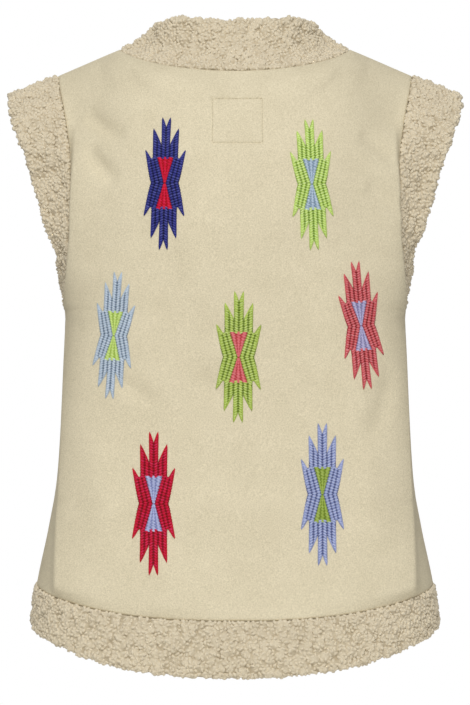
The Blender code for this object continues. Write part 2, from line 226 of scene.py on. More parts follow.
class Form:
    """The outer face of the back or of the front: its half on the +X side, from the middle to the edge."""

    def __init__(self, middle, armhole, fall, neck):
        low = [
            Row(side.height, side.half_width, 0.0, 0.0, mid.height, mid.depth, mid.bow, mid.close, 0.0)
            for side, mid in zip(SIDE_SEAM, middle)
        ]
        self.rows = [*low, *armhole]
        self.fall = np.array(fall)
        self.neck = neck
        self.facing = math.copysign(1.0, neck.depth)
        top = -(neck.drop + SHOULDER_TIP_DROP) / 2
        fallen = top - (fall[0].down + fall[-1].down) / 2
        levels = [(row.height + row.edge_height) / 2 for row in self.rows]
        self.levels = [*levels, fallen, top - CROWN * (top - fallen), top]

    def points(self, shares, levels):
        """An array of points, one row for each level and one column for each share."""
        shares = np.asarray(shares, float)
        top = top_line(self.neck, shares)
        step = smooth_through(self.fall[:, 0], self.fall[:, 1:], shares) * np.array([1.0, self.facing, -1.0])
        over_shoulder = np.clip(shares / NECK_SHARE, 0, 1) ** 2
        crown = step * CROWN
        crown[:, 2] *= CROWN**over_shoulder
        shifts = np.linspace(-CORNER_SPREAD, CORNER_SPREAD, CORNER_READINGS)
        spread = shifts[:, None] * np.sin(math.pi * shares) ** 2
        rounded = np.mean([top_line(self.neck, shares + shift) for shift in spread], axis=0)
        lines = [row_line(row, shares) for row in self.rows] + [rounded + step, top + crown, top]
        found = smooth_through(self.levels, np.stack(lines), levels)
        found[..., 1] += self.facing * SEAM_GAP / 2
        return found

    def outward(self, shares, levels):
        """The directions square to the cloth at those points."""
        shares, levels = np.asarray(shares, float), np.asarray(levels, float)
        nearer, further = np.maximum(shares - SQUARE_REACH, 0), np.minimum(shares + SQUARE_REACH, 1)
        lower, upper = levels - SQUARE_REACH, np.minimum(levels + SQUARE_REACH, self.levels[-1])
        ahead = self.points(further, levels) - self.points(nearer, levels)
        up = self.points(shares, upper) - self.points(shares, lower)
        return unit(np.cross(up, ahead)) * self.facing


BACK = Form(BACK_MIDDLE, BACK_ARMHOLE, BACK_FALL, BACK_NECK)


def fine_levels(form):
    """Levels from the hem seam to the top of a panel, closer together at both ends."""
    low, high = form.levels[HEM_SEAM_ROW] + SEAM_GAP / 2, form.levels[-1]
    inner = np.linspace(low + EDGE_STEPS[0], high - EDGE_STEPS[0], round((high - low) / SUEDE_STEP))
    return np.concatenate([low + EDGE_STEPS[:0:-1], inner, high - EDGE_STEPS[1:]])


def fine_shares(free_middle):
    """Shares from the middle to the edge of a panel, closer together at the edge and at a free middle."""
    near = EDGE_STEPS / MEAN_HALF_ROW
    start = near[0] if free_middle else 0.0
    plain = np.linspace(start, FOLD_START, round(FOLD_START * MEAN_HALF_ROW / SUEDE_STEP), endpoint=False)
    folded = np.linspace(FOLD_START, 1 - near[0], round((1 - FOLD_START) * MEAN_HALF_ROW / FOLD_STEP))
    return np.concatenate([near[:0:-1] if free_middle else [], plain, folded, 1 - near[1:]])


def whole_back(levels, shares):
    """The whole back at some levels, from the wearer's left to the right: points and directions square on."""
    halves = BACK.points(shares, levels), BACK.outward(shares, levels)
    return [np.concatenate([half[:, :0:-1], mirrored(half)], axis=1) for half in halves]


def ways(points):
    """How far each point of a grid lies from the first column along its row, and from the first row."""
    across = np.cumsum(np.linalg.norm(np.diff(points, axis=1, prepend=points[:, :1]), axis=2), axis=1)
    up = np.cumsum(np.linalg.norm(np.diff(points, axis=0, prepend=points[:1]), axis=2), axis=0)
    return across, up


def crease_rise(points, across, creases):
    """How far creases lift each point of a grid of cloth off its form. A crease runs out at both its ends."""
    place = np.stack([across, points[..., 2]], axis=-1)
    rise = np.zeros(across.shape)
    for crease in creases:
        start = np.array([crease.across_top, crease.height_top])
        run = np.array([crease.across_low, crease.height_low]) - start
        share = np.clip((place - start) @ run / (run @ run), 0, 1)
        wave = np.sin(math.pi * share)
        nearest = start + share[..., None] * run
        nearest[..., 0] += crease.bend * wave
        aside = np.linalg.norm(place - nearest, axis=-1)
        if crease.fold:
            outside = (place - nearest)[..., 0] * crease.across_top > 0
            reach = np.where(outside, crease.width, FOLD_REACH)
            slope = (np.hypot(aside, FOLD_ROUND) - FOLD_ROUND) / reach
            rise += crease.rise * wave**FOLD_RUN_OUT * np.exp(-slope)
        else:
            rise += crease.rise * wave**CREASE_RUN_OUT * np.exp(-((aside / crease.width) ** 2))
    return rise


def walled(name, outer, inner, finishes, closed=False, notes=None):
    """A closed mesh of cloth between an outer and an inner grid, with a finish for each of the two faces.

    Closed joins the last column to the first. Points that the two grids share are merged. Notes are named
    values for the points, on the outer grid and on the inner.
    """
    rows, columns = outer.shape[:2]
    index = np.arange(rows * columns).reshape(rows, columns)
    if closed:
        index = np.concatenate([index, index[:, :1]], axis=1)
        rims = [index[0, :-1], index[-1, -1:0:-1]]
    else:
        rims = [np.concatenate([index[0], index[1:, -1], index[-1, -2::-1], index[-2:0:-1, 0]])]
    face = np.stack([index[:-1, :-1], index[:-1, 1:], index[1:, 1:], index[1:, :-1]], axis=-1).reshape(-1, 4)
    below = rows * columns
    quads = [face, face[:, ::-1] + below]
    for rim in rims:
        ahead = np.roll(rim, -1)
        quads.append(np.stack([ahead, rim, rim + below, ahead + below], axis=-1))
    mesh = bpy.data.meshes.new(name)
    points = np.concatenate([outer.reshape(-1, 3), inner.reshape(-1, 3)])
    mesh.from_pydata(points.tolist(), [], np.concatenate(quads).tolist())
    for label, values in (notes or {}).items():
        noted = mesh.attributes.new(label, "FLOAT", "POINT")
        noted.data.foreach_set("value", np.concatenate([grid.reshape(-1) for grid in values]))
    for finish in finishes:
        mesh.materials.append(finish)
    reverse = np.zeros(len(mesh.polygons), np.int32)
    reverse[len(face) : 2 * len(face)] = len(finishes) - 1
    mesh.polygons.foreach_set("material_index", reverse)
    cloth = bmesh.new()
    cloth.from_mesh(mesh)
    bmesh.ops.remove_doubles(cloth, verts=cloth.verts, dist=MERGE_REACH)
    if cloth.calc_volume(signed=True) < 0:
        bmesh.ops.reverse_faces(cloth, faces=cloth.faces)
    cloth.to_mesh(mesh)
    cloth.free()
    mesh.shade_smooth()
    return mesh


def panel_mesh(name, surface, across, creases, seam_side, finishes):
    """A suede panel on its form: creased, turned in at its edges, and kept to its own side of the seams."""
    points, outward = surface
    from_start, up = ways(points)
    beside = np.minimum(from_start, from_start[:, -1:] - from_start)
    edge = np.minimum(beside, np.minimum(up, up[-1:] - up))
    from_seam = np.clip(np.minimum(np.minimum(beside, up[-1:] - up) / SEAM_FADE, up / HEM_FADE), 0, 1)
    loose = 3 * from_seam**2 - 2 * from_seam**3
    rise = loose * crease_rise(points, across, [crease for crease in creases if not crease.fold])
    fold = loose * crease_rise(points, across, [crease for crease in creases if crease.fold])
    folded = points + seam_side * fold[..., None] * np.array([0.0, 1.0, 0.0])
    turn = EDGE_TURN * (1 - np.sqrt(1 - (1 - np.clip(edge / EDGE_ROUND, 0, 1)) ** 2))
    layers = [folded + (rise - turn)[..., None] * outward, folded + (rise - SUEDE_THICK)[..., None] * outward]
    for layer in layers:
        layer[..., 1] = seam_side * np.maximum(seam_side * layer[..., 1], SEAM_GAP / 2)
        layer[np.abs(layer[..., 1]) < SEAM_GAP, 1] = seam_side * SEAM_SLIT / 2
    return walled(name, *layers, finishes)


def fill_in(tree, node, inputs):
    """Sets a node's inputs, named or counted. Each gets a value, or a link to another node's output."""
    for key, value in inputs.items():
        named = [socket for socket in node.inputs if socket.enabled and socket.name == key]
        socket = named[0] if named else node.inputs[key]
        if isinstance(value, bpy.types.NodeSocket):
            tree.links.new(value, socket)
        else:
            socket.default_value = value


def wired(tree, kind, inputs=None, **settings):
    """Adds a node with its settings and its inputs, and gives its first output."""
    node = tree.nodes.new(kind)
    for name, value in settings.items():
        setattr(node, name, value)
    fill_in(tree, node, inputs or {})
    return next((socket for socket in node.outputs if socket.enabled), None)


def math_of(tree, operation, first, second):
    """A node that works on two values, each a number or another node's output."""
    return wired(tree, "ShaderNodeMath", {0: first, 1: second}, operation=operation)


def linear(*levels):
    """A colour for a shader, from the three levels, 0 to 255, that a screen shows it with."""
    shares = np.array(levels) / 255
    return (*np.where(shares <= 0.04045, shares / 12.92, ((shares + 0.055) / 1.055) ** 2.4), 1.0)


def nap_group():
    """Short brushed fibre over any cloth: fine fibre and broad clouds, each as values about one half."""
    group = bpy.data.node_groups.new("nap", "ShaderNodeTree")
    group.interface.new_socket("Place", in_out="INPUT", socket_type="NodeSocketVector")
    for name in ("Fibre", "Cloud"):
        group.interface.new_socket(f"{name} Size", in_out="INPUT", socket_type="NodeSocketFloat")
        group.interface.new_socket(name, in_out="OUTPUT", socket_type="NodeSocketFloat")
    entry = group.nodes.new("NodeGroupInput").outputs
    leave = group.nodes.new("NodeGroupOutput").inputs
    for name, detail in (("Fibre", 3.0), ("Cloud", 5.0)):
        scale = math_of(group, "DIVIDE", 1.0, entry[f"{name} Size"])
        noise = {"Vector": entry["Place"], "Scale": scale, "Detail": detail, "Roughness": 0.62}
        group.links.new(wired(group, "ShaderNodeTexNoise", noise), leave[name])
    return group


NAP = nap_group()


def new_finish(name):
    """A new material, with its node tree and its shader."""
    made = bpy.data.materials.new(name)
    made.use_nodes = True
    return made, made.node_tree, made.node_tree.nodes["Principled BSDF"]


def napped(tree, fibre_size, cloud_size):
    """The fibre and the clouds of a nap, in a material's tree."""
    place = wired(tree, "ShaderNodeTexCoord").node.outputs["Object"]
    sizes = {"Place": place, "Fibre Size": fibre_size, "Cloud Size": cloud_size}
    fibre = wired(tree, "ShaderNodeGroup", sizes, node_tree=NAP)
    return fibre, fibre.node.outputs["Cloud"]


def suede_finish(name, light, deep, fibre_size, cloud_size, relief):
    """Brushed suede-look cloth: a soft mottle of two tones, matt, with a low sheen off its nap."""
    made, tree, shader = new_finish(name)
    fibre, cloud = napped(tree, fibre_size, cloud_size)
    both = wired(tree, "ShaderNodeMix", {"Factor": 0.80, "A": cloud, "B": fibre}, data_type="FLOAT")
    tone = wired(tree, "ShaderNodeMapRange", {"Value": both, "From Min": 0.28, "From Max": 0.72})
    looks = {
        "Base Color": wired(tree, "ShaderNodeMix", {"Factor": tone, "A": deep, "B": light}, data_type="RGBA"),
        "Roughness": wired(tree, "ShaderNodeMapRange", {"Value": fibre, "To Min": 0.82, "To Max": 1.0}),
        "Normal": wired(tree, "ShaderNodeBump", {"Height": fibre, "Strength": 0.5, "Distance": relief}),
        "Specular IOR Level": 0.2,
        "Sheen Weight": 0.05,
        "Sheen Roughness": 0.45,
        "Sheen Tint": light,
    }
    fill_in(tree, shader, looks)
    return made


SUEDE_FACE = suede_finish(
    "suede_face", light=linear(230, 219, 191), deep=linear(191, 180, 151),
    fibre_size=0.0013, cloud_size=0.040, relief=0.0006,
)
SUEDE_REVERSE = suede_finish(
    "suede_reverse", light=linear(214, 204, 180), deep=linear(196, 184, 158),
    fibre_size=0.0016, cloud_size=0.006, relief=0.0004,
)
SUEDE_FINISHES = (SUEDE_FACE, SUEDE_REVERSE)


def in_scene(name, data):
    """An object in the scene for a mesh that already lies in its place, or for a lamp or a camera."""
    made = bpy.data.objects.new(name, data)
    bpy.context.scene.collection.objects.link(made)
    return made


back_surface = whole_back(fine_levels(BACK), fine_shares(free_middle=False))
back_across = ways(back_surface[0])[0]
back_across = back_across[:, back_across.shape[1] // 2, None] - back_across
suede_back = in_scene(
    "suede_back", panel_mesh("suede_back", back_surface, back_across, BACK_CREASES, 1, SUEDE_FINISHES)
)
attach(suede_back, "root")
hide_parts("back_panel")

# The embroidery
# Seven spiked lozenges about 130 mm long, worked on the back in upright rows of rope-like stitches round an
# hourglass in a second colour. The stitches lie over an underlay painted dark as the shade between them, and
# dip into it at the rows' edges, where they are painted darker as shade.
COLUMN_WIDTH = 0.0043
THREAD_PITCH = 0.00125
THREAD_RADIUS = 0.00080
THREAD_LIFT = 0.0009
THREAD_SLANT = 0.62  # how steeply a stitch climbs across its row
GLASS_PITCH = 0.0014
SIDE_SLANT = 0.45
GLASS_SLANT = 0.50
SLANT_TURN = 0.007  # the slant turns over within this far of the waist
OFFSETS = (0.0, THREAD_PITCH) * 2  # rows side by side are one stitch apart
SHORT_REACH = 0.56  # every other stitch is shorter and darker, which makes the edges of a row zigzag
SHORT_TONE = 0.72
GLASS_SHORT_TONE = 0.90
STITCH_WANDER = 0.00015  # how far a stitch strays up or down its row
STITCH_TONES = (0.92, 1.08)  # from the darkest stitch to the lightest
NARROWEST = 0.8 * THREAD_RADIUS  # a row has no stitch where it is narrower than this
THINNEST = 0.3  # the share of its height that a stitch keeps in a narrow row
THREAD_SEED = 7
# Each station's tones paint the stitch darker at its ends as shade, and lighter and paler over its raised
# middle as a highlight
Station = namedtuple("Station", "share lift girth ground_tone glass_tone")
STATIONS = (  # along a stitch: it comes up at the row's edge, over the row, and goes down again
    Station(0.03, 0.0, 0.80, 0.35, 0.62),
    Station(0.33, 1.0, 1.00, 1.33, 1.18),
    Station(0.67, 1.0, 1.00, 1.33, 1.18),
    Station(0.97, 0.0, 0.80, 0.35, 0.62),
)
SHARE, LIFT, GIRTH, GROUND_SHADING, GLASS_SHADING = np.array(STATIONS).T
EDGING_POINTS = 10
EDGING_GIRTH = 0.8  # of the thread that outlines a spike, beside its notch
TIP_GIRTH = 0.35
EDGING_LIFT = 0.4 * THREAD_LIFT
EDGING_TONES = (0.70, 1.10)
TUBE_SIDES = 4
UNDERLAY_LIFT = 0.00022
# How dark the underlay is painted: painted shade, seen in the gaps between the stitches
UNDERLAY_SHADE = 0.25
GLASS_UNDERLAY_SHADE = 0.55
GLASS_COLUMNS = 3
CHART_LENGTH = 0.131
CHART_WIDTH = 0.0412
CHART_DEPTH = 0.30  # the charts are laid out off the back, then brought onto it
GLASS_HEIGHT = 0.0255
GLASS_END = 0.0085
GLASS_WAIST = 0.0008
SIDE_HEIGHT = 0.0235
BAR_FOOT = GLASS_HEIGHT - 0.0013  # the bars start a little below the hourglass's ends
SIDE_COLUMNS = 3
FLARE_WAIST = 0.0141
FLARE_TIP = 0.0206
FLARE_HEIGHT = 0.0322
FLARE_CURVE = 0.8
# One quarter of the lozenge: each bar's edges from the middle line, where it starts, and its slanted top
Bar = namedtuple("Bar", "inner outer foot notch tip")
BARS = (
    Bar(0.0000, 0.0044, BAR_FOOT, 0.0565, 0.0655),
    Bar(0.0044, 0.0087, BAR_FOOT, 0.0385, 0.0462),
    Bar(0.0087, 0.0130, BAR_FOOT, 0.0462, 0.0540),
    Bar(0.0134, FLARE_TIP, 0.0225, 0.0225, FLARE_HEIGHT),
)
# The spikes' outlines in the same quarter: up the outer edge to the tip, then down to the notch beside it
Spike = namedtuple("Spike", "outer foot tip notch_x notch")
QUARTERS = [(up, out) for up in (1, -1) for out in (1, -1)]
SPIKES = (
    Spike(0.0044, 0.0400, 0.0655, 0.0000, 0.0565),
    Spike(0.0130, 0.0300, 0.0540, 0.0044, 0.0385),
    Spike(FLARE_TIP, 0.0080, FLARE_HEIGHT, 0.0134, 0.0225),
)
# Lean turns the top towards the wearer's left, in degrees
Motif = namedtuple("Motif", "name x z length width lean ground glass")
MOTIFS = (
    Motif("navy", 0.0705, -0.1498, 0.134, 0.0405, -1.2, (36, 40, 122), (213, 12, 50)),
    Motif("lime", -0.0771, -0.1508, 0.132, 0.0410, 2.1, (196, 224, 115), (180, 199, 218)),
    Motif("sky", 0.1222, -0.3028, 0.1272, 0.0392, -4.0, (185, 201, 218), (203, 227, 125)),
    Motif("olive", -0.0035, -0.3245, 0.1305, 0.0448, -0.5, (177, 200, 88), (227, 110, 116)),
    Motif("coral", -0.1273, -0.2927, 0.1283, 0.0405, 5.7, (213, 90, 95), (186, 181, 219)),
    Motif("crimson", 0.0816, -0.4713, 0.1423, 0.0428, 0.0, (196, 4, 38), (176, 184, 224)),
    Motif("periwinkle", -0.0877, -0.4622, 0.1415, 0.0428, 0.0, (156, 167, 212), (162, 184, 78)),
)
rng = np.random.default_rng(THREAD_SEED)


def flare(height):
    """Half the width of the lozenge between its side spikes, pinched at the middle."""
    share = np.clip(np.abs(height) / FLARE_HEIGHT, 0, 1)
    return FLARE_WAIST + (FLARE_TIP - FLARE_WAIST) * share**FLARE_CURVE


def glass(height):
    """Half the width of the hourglass."""
    return GLASS_WAIST + (GLASS_END - GLASS_WAIST) * np.clip(np.abs(height) / GLASS_HEIGHT, 0, 1)


def ground_columns():
    """The rows of the lozenge: the heights of their stitches, where these begin and end, and their slant."""
    columns = []
    for bar, offset in zip(BARS, OFFSETS):
        heights = np.arange(bar.foot + offset, bar.tip, THREAD_PITCH)
        outer = np.minimum(bar.outer, flare(heights))
        cut = np.clip((heights - bar.notch) / (bar.tip - bar.notch), 0, 1)
        inner = bar.inner + (outer - bar.inner) * cut
        slant = np.full(len(heights), THREAD_SLANT)
        columns += [(up * heights, out * inner, out * outer, up * out * slant) for up, out in QUARTERS]
    for row, offset in zip(range(SIDE_COLUMNS), OFFSETS):
        heights = np.arange(offset - GLASS_HEIGHT, GLASS_HEIGHT, THREAD_PITCH)
        outer = np.where(np.abs(heights) > SIDE_HEIGHT, BARS[2].outer, flare(heights))
        edges = np.linspace(glass(heights), outer, SIDE_COLUMNS + 1)
        slant = -SIDE_SLANT * np.clip(heights / SLANT_TURN, -1, 1)
        columns += [(heights, out * edges[row], out * edges[row + 1], out * slant) for out in (1, -1)]
    return columns


def glass_columns():
    """The same for the hourglass, whose rows draw together at its waist."""
    heights = np.arange(-GLASS_HEIGHT, GLASS_HEIGHT + GLASS_PITCH / 2, GLASS_PITCH)
    edges = np.linspace(-glass(heights), glass(heights), GLASS_COLUMNS + 1)
    slant = np.full(len(heights), GLASS_SLANT)
    return [(heights, low, high, slant) for low, high in zip(edges, edges[1:])]


Threads = namedtuple("Threads", "places lifts girths colours edges faces")


def shaded(colour, tone):
    """A thread colour at each of some tones: darker and fuller below one, lighter and paler above it."""
    tone = tone[..., None]
    return np.array(linear(*colour)) ** (2 - tone) * np.sqrt(np.minimum(tone, 1))


def stitches(heights, low, high, slant, colour, shading, short_tone):
    """The stitches of one row: points, each with a lift off the cloth, a girth and a colour, and edges."""
    bottom, top = heights.min(), heights.max()
    wide = np.abs(high - low) > NARROWEST
    heights, low, high, slant = heights[wide], low[wide], high[wide], slant[wide]
    short = np.arange(len(heights))[:, None] % 2
    middle = (low + high)[:, None] / 2
    across = middle + (high - low)[:, None] * (SHARE - 0.5) * np.where(short, SHORT_REACH, 1)
    wander = rng.normal(0, STITCH_WANDER, (len(heights), 1))
    up = heights[:, None] + slant[:, None] * (across - middle) + wander
    full = np.clip(np.abs(high - low) / COLUMN_WIDTH, THINNEST, 1)[:, None]
    # Each stitch's random tone, times its painted shade at the ends and painted highlight over the middle
    tone = rng.uniform(*STITCH_TONES, (len(heights), 1)) * shading * np.where(short, short_tone, 1)
    colours = shaded(colour, tone)
    index = np.arange(across.size).reshape(across.shape)
    edges = np.stack([index[:, :-1], index[:, 1:]], axis=-1).reshape(-1, 2)
    places = np.stack([across, np.clip(up, bottom, top)], axis=-1).reshape(-1, 2)
    lifts, girths = THREAD_LIFT * LIFT * full, GIRTH * np.sqrt(full)
    return Threads(places, lifts.reshape(-1), girths.reshape(-1), colours.reshape(-1, 4), edges, [])


def edging(spike, up, out, colour):
    """The thread that outlines one spike. It thins out towards the tip."""
    rise = np.linspace(spike.foot, spike.tip, EDGING_POINTS)
    outer = np.minimum(spike.outer, flare(rise)) - THREAD_RADIUS * np.linspace(1, TIP_GIRTH, EDGING_POINTS)
    fall = np.linspace(spike.tip, spike.notch, EDGING_POINTS // 2)[1:]
    inner = np.linspace(outer[-1], spike.notch_x + THREAD_RADIUS, EDGING_POINTS // 2)[1:]
    places = np.stack([np.concatenate([outer, inner]), np.concatenate([rise, fall])], axis=1) * (out, up)
    girths = np.interp(places[:, 1] * up, [spike.notch, spike.tip], [EDGING_GIRTH, TIP_GIRTH])
    tone = rng.uniform(*EDGING_TONES, (len(places), 1))
    index = np.arange(len(places))
    edges = np.stack([index[:-1], index[1:]], axis=1)
    lifts = np.full(len(places), EDGING_LIFT)
    return Threads(places, lifts, girths, tone * np.array(linear(*colour)), edges, [])


def underlay(heights, low, high, colour, tone):
    """A cloth-hugging fill below the threads of one column, painted dark as the shade in the gaps between
    them, in the same form, with faces.
    """
    places = np.stack([np.stack([low, heights], axis=-1), np.stack([high, heights], axis=-1)], axis=1)
    colours = shaded(colour, np.full(2 * len(heights), tone))
    index = np.arange(2 * len(heights)).reshape(-1, 2)
    faces = np.concatenate([index[:-1], index[1:, ::-1]], axis=1)
    lifts, girths = np.full(2 * len(heights), UNDERLAY_LIFT), np.ones(2 * len(heights))
    return Threads(places.reshape(-1, 2), lifts, girths, colours, [], faces)


def chart_mesh(name, parts, place):
    """A flat chart of threads and underlay as one mesh. Place turns its own places into world places."""
    points, edges, faces = [], [], []
    for part in parts:
        start = sum(len(group) for group in points)
        points.append(place(part.places))
        edges += (np.array(part.edges, int).reshape(-1, 2) + start).tolist()
        faces += (np.array(part.faces, int).reshape(-1, 4) + start).tolist()
    mesh = bpy.data.meshes.new(name)
    mesh.from_pydata(np.concatenate(points).tolist(), edges, faces)
    numbers = {"lift": [part.lifts for part in parts], "girth": [part.girths for part in parts]}
    for label, values in numbers.items():
        mesh.attributes.new(label, "FLOAT", "POINT").data.foreach_set("value", np.concatenate(values))
    # Each point's thread colour, with its painted shade and painted highlight
    shades = np.concatenate([part.colours for part in parts]).astype(np.float32).reshape(-1)
    mesh.attributes.new("thread", "FLOAT_COLOR", "POINT").data.foreach_set("color", shades)
    is_fill = np.concatenate([np.full(len(part.places), len(part.faces) > 0) for part in parts])
    mesh.attributes.new("fill", "BOOLEAN", "POINT").data.foreach_set("value", is_fill)
    return mesh


def geometry_tree(name, sockets):
    """A Geometry Nodes tree with named inputs. Gives the tree and the outputs of its input node."""
    tree = bpy.data.node_groups.new(name, "GeometryNodeTree")
    tree.interface.new_socket("Geometry", in_out="INPUT", socket_type="NodeSocketGeometry")
    for label, kind in sockets.items():
        tree.interface.new_socket(label, in_out="INPUT", socket_type=f"NodeSocket{kind}")
    tree.interface.new_socket("Geometry", in_out="OUTPUT", socket_type="NodeSocketGeometry")
    return tree, tree.nodes.new("NodeGroupInput").outputs


def ended(tree, geometry, material):
    """Ends a tree: smooth faces, real geometry in place of instances, and its material."""
    smooth = wired(tree, "GeometryNodeSetShadeSmooth", {"Geometry": geometry})
    real = wired(tree, "GeometryNodeRealizeInstances", {"Geometry": smooth})
    dressed = wired(tree, "GeometryNodeSetMaterial", {"Geometry": real, "Material": material})
    tree.links.new(dressed, tree.nodes.new("NodeGroupOutput").inputs["Geometry"])


def grown(tree, source, name, values):
    """The plain mesh that a tree makes of an object, with the tree's inputs set by their identifiers."""
    modifier = source.modifiers.new(tree.name, "NODES")
    modifier.node_group = tree
    for item in tree.interface.items_tree:
        if item.in_out == "INPUT" and item.name in values:
            modifier[item.identifier] = values[item.name]
    source.update_tag()
    bpy.context.view_layer.update()
    depsgraph = bpy.context.evaluated_depsgraph_get()
    mesh = bpy.data.meshes.new_from_object(
        source.evaluated_get(depsgraph), preserve_all_data_layers=True, depsgraph=depsgraph
    )
    source.modifiers.remove(modifier)
    mesh.name = name
    return mesh


def note_of(tree, name, kind="FLOAT"):
    """A value that was noted on the points of a mesh."""
    return wired(tree, "GeometryNodeInputNamedAttribute", {"Name": name}, data_type=kind)


def tube(tree, curve, radius):
    """A thread along a curve, closed at its ends."""
    ring = wired(tree, "GeometryNodeCurvePrimitiveCircle", {"Resolution": TUBE_SIDES, "Radius": radius})
    return wired(tree, "GeometryNodeCurveToMesh", {"Curve": curve, "Profile Curve": ring, "Fill Caps": True})


def sewing_tree():
    """Brings a chart onto the cloth below it, and gives its edges the thickness of thread."""
    sockets = {"Cloth": "Object", "Thread Radius": "Float", "Material": "Material"}
    tree, given = geometry_tree("sewing", sockets)
    cloth = wired(tree, "GeometryNodeObjectInfo", {"Object": given["Cloth"]}).node.outputs["Geometry"]
    place = wired(tree, "GeometryNodeInputPosition")
    straight = {
        "Target Geometry": cloth, "Source Position": place,
        "Ray Direction": (0.0, -1.0, 0.0), "Ray Length": 1.0,
    }
    ray = wired(tree, "GeometryNodeRaycast", straight).node.outputs
    lift = {0: ray["Hit Normal"], "Scale": note_of(tree, "lift")}
    rise = wired(tree, "ShaderNodeVectorMath", lift, operation="SCALE")
    landed = wired(tree, "ShaderNodeVectorMath", {0: ray["Hit Position"], 1: rise}, operation="ADD")
    laid = wired(tree, "GeometryNodeSetPosition", {"Geometry": given["Geometry"], "Position": landed})
    fill = {"Geometry": laid, "Selection": note_of(tree, "fill", "BOOLEAN")}
    parted = wired(tree, "GeometryNodeSeparateGeometry", fill, domain="POINT")
    lines = wired(tree, "GeometryNodeMeshToCurve", {"Mesh": parted.node.outputs["Inverted"]})
    thinned = wired(tree, "GeometryNodeSetCurveRadius", {"Curve": lines, "Radius": note_of(tree, "girth")})
    both = tree.nodes.new("GeometryNodeJoinGeometry")
    tree.links.new(parted, both.inputs[0])
    tree.links.new(tube(tree, thinned, given["Thread Radius"]), both.inputs[0])
    ended(tree, both.outputs[0], given["Material"])
    return tree


def thread_finish():
    """Satin embroidery thread in the colour of each stitch, with a soft gloss along it."""
    made, tree, shader = new_finish("embroidery_thread")
    colour = wired(tree, "ShaderNodeAttribute", None, attribute_name="thread")
    fibre = napped(tree, fibre_size=0.0005, cloud_size=0.012)[0]
    shade = wired(tree, "ShaderNodeMapRange", {"Value": fibre, "To Min": 0.72, "To Max": 1.16})
    looks = {
        "Base Color": wired(tree, "ShaderNodeVectorMath", {0: colour, "Scale": shade}, operation="SCALE"),
        "Roughness": wired(tree, "ShaderNodeMapRange", {"Value": fibre, "To Min": 0.38, "To Max": 0.62}),
        "Normal": wired(tree, "ShaderNodeBump", {"Height": fibre, "Strength": 0.4, "Distance": 0.0002}),
        "Specular IOR Level": 0.25,
    }
    fill_in(tree, shader, looks)
    return made


SEWING = sewing_tree()
THREAD = thread_finish()


def sewn(name, parts, place, radius):
    """Threads on the finished back, as a piece of their own."""
    chart = in_scene(f"{name}_chart", chart_mesh(f"{name}_chart", parts, place))
    values = {"Cloth": suede_back, "Thread Radius": radius, "Material": THREAD}
    made = in_scene(name, grown(SEWING, chart, name, values))
    bpy.data.objects.remove(chart)
    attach(made, "root")


def embroidered(motif):
    """One motif on the back: its underlay, painted dark as shade, then its rows of stitches and its outlines,
    then the hourglass.
    """
    lean = math.radians(motif.lean)
    turn = np.array([[math.cos(lean), math.sin(lean)], [-math.sin(lean), math.cos(lean)]])

    def off_back(places):
        """World places of chart places, off the back."""
        stretched = places * np.array([motif.width / CHART_WIDTH, motif.length / CHART_LENGTH])
        x, z = turn @ stretched.T + np.array([[motif.x], [motif.z]])
        return np.stack([x, np.full(len(x), CHART_DEPTH), z], axis=1)

    ground, hourglass = ground_columns(), glass_columns()
    parts = [underlay(*column[:3], motif.ground, UNDERLAY_SHADE) for column in ground]
    parts += [underlay(*column[:3], motif.glass, GLASS_UNDERLAY_SHADE) for column in hourglass]
    parts += [stitches(*column, motif.ground, GROUND_SHADING, SHORT_TONE) for column in ground]
    parts += [edging(spike, *quarter, motif.ground) for spike in SPIKES for quarter in QUARTERS]
    parts += [stitches(*column, motif.glass, GLASS_SHADING, GLASS_SHORT_TONE) for column in hourglass]
    sewn(f"embroidery_{motif.name}", parts, off_back, THREAD_RADIUS)


for motif in MOTIFS:
    embroidered(motif)

# The stitched rectangle
# A plain line of stitches below the collar, sewn through from the inside in thread of the cloth's own colour.
# It pulls the suede into a fine groove.
OUTLINE_X = -0.0025
OUTLINE_Z = -0.0857
OUTLINE_HALF_WIDTH = 0.0252
OUTLINE_HALF_HEIGHT = 0.0232
GROOVE_DEPTH = 0.0013
SIDE_GROOVE = 0.40  # the share of that depth down the two sides
GROOVE_WIDTH = 0.0011
GROOVE_SPAN = 5 * GROOVE_WIDTH  # how far to each side the groove is drawn out
LEVEL_REACH = 2 * GROOVE_WIDTH  # how near the top or bottom side a place has the full depth
GROOVE_CUTS = 3
CUT_REACH = 0.006  # how far to each side the cloth's faces are cut finer
FACING_BACK = 0.3  # the outer face of the cloth looks back at least this squarely
STITCH_LENGTH = 0.0027
STITCH_GAP = 0.0008
STITCH_LIFT = 0.0004
STITCH_SINK = 0.5  # the share of that by which a stitch's two ends dip
STITCH_RADIUS = 0.00045
OUTLINE_THREAD = (208, 197, 168)
OUTLINE_TONES = (0.9, 1.05)


def from_outline(x, z):
    """How far a place on the back lies outside the rectangle. Inside it, this is below 0."""
    aside = np.abs(x - OUTLINE_X) - OUTLINE_HALF_WIDTH
    above = np.abs(z - OUTLINE_Z) - OUTLINE_HALF_HEIGHT
    return math.hypot(max(aside, 0), max(above, 0)) + min(max(aside, above), 0)


def near_outline(face):
    """Whether a face of the cloth's outer side lies close to the rectangle's line."""
    middle = face.calc_center_median()
    return face.normal.y > FACING_BACK and abs(from_outline(middle.x, middle.z)) < CUT_REACH


def off_outline(places):
    """World places of places on the rectangle, off the back."""
    return np.insert(places + (OUTLINE_X, OUTLINE_Z), 1, CHART_DEPTH, axis=1)


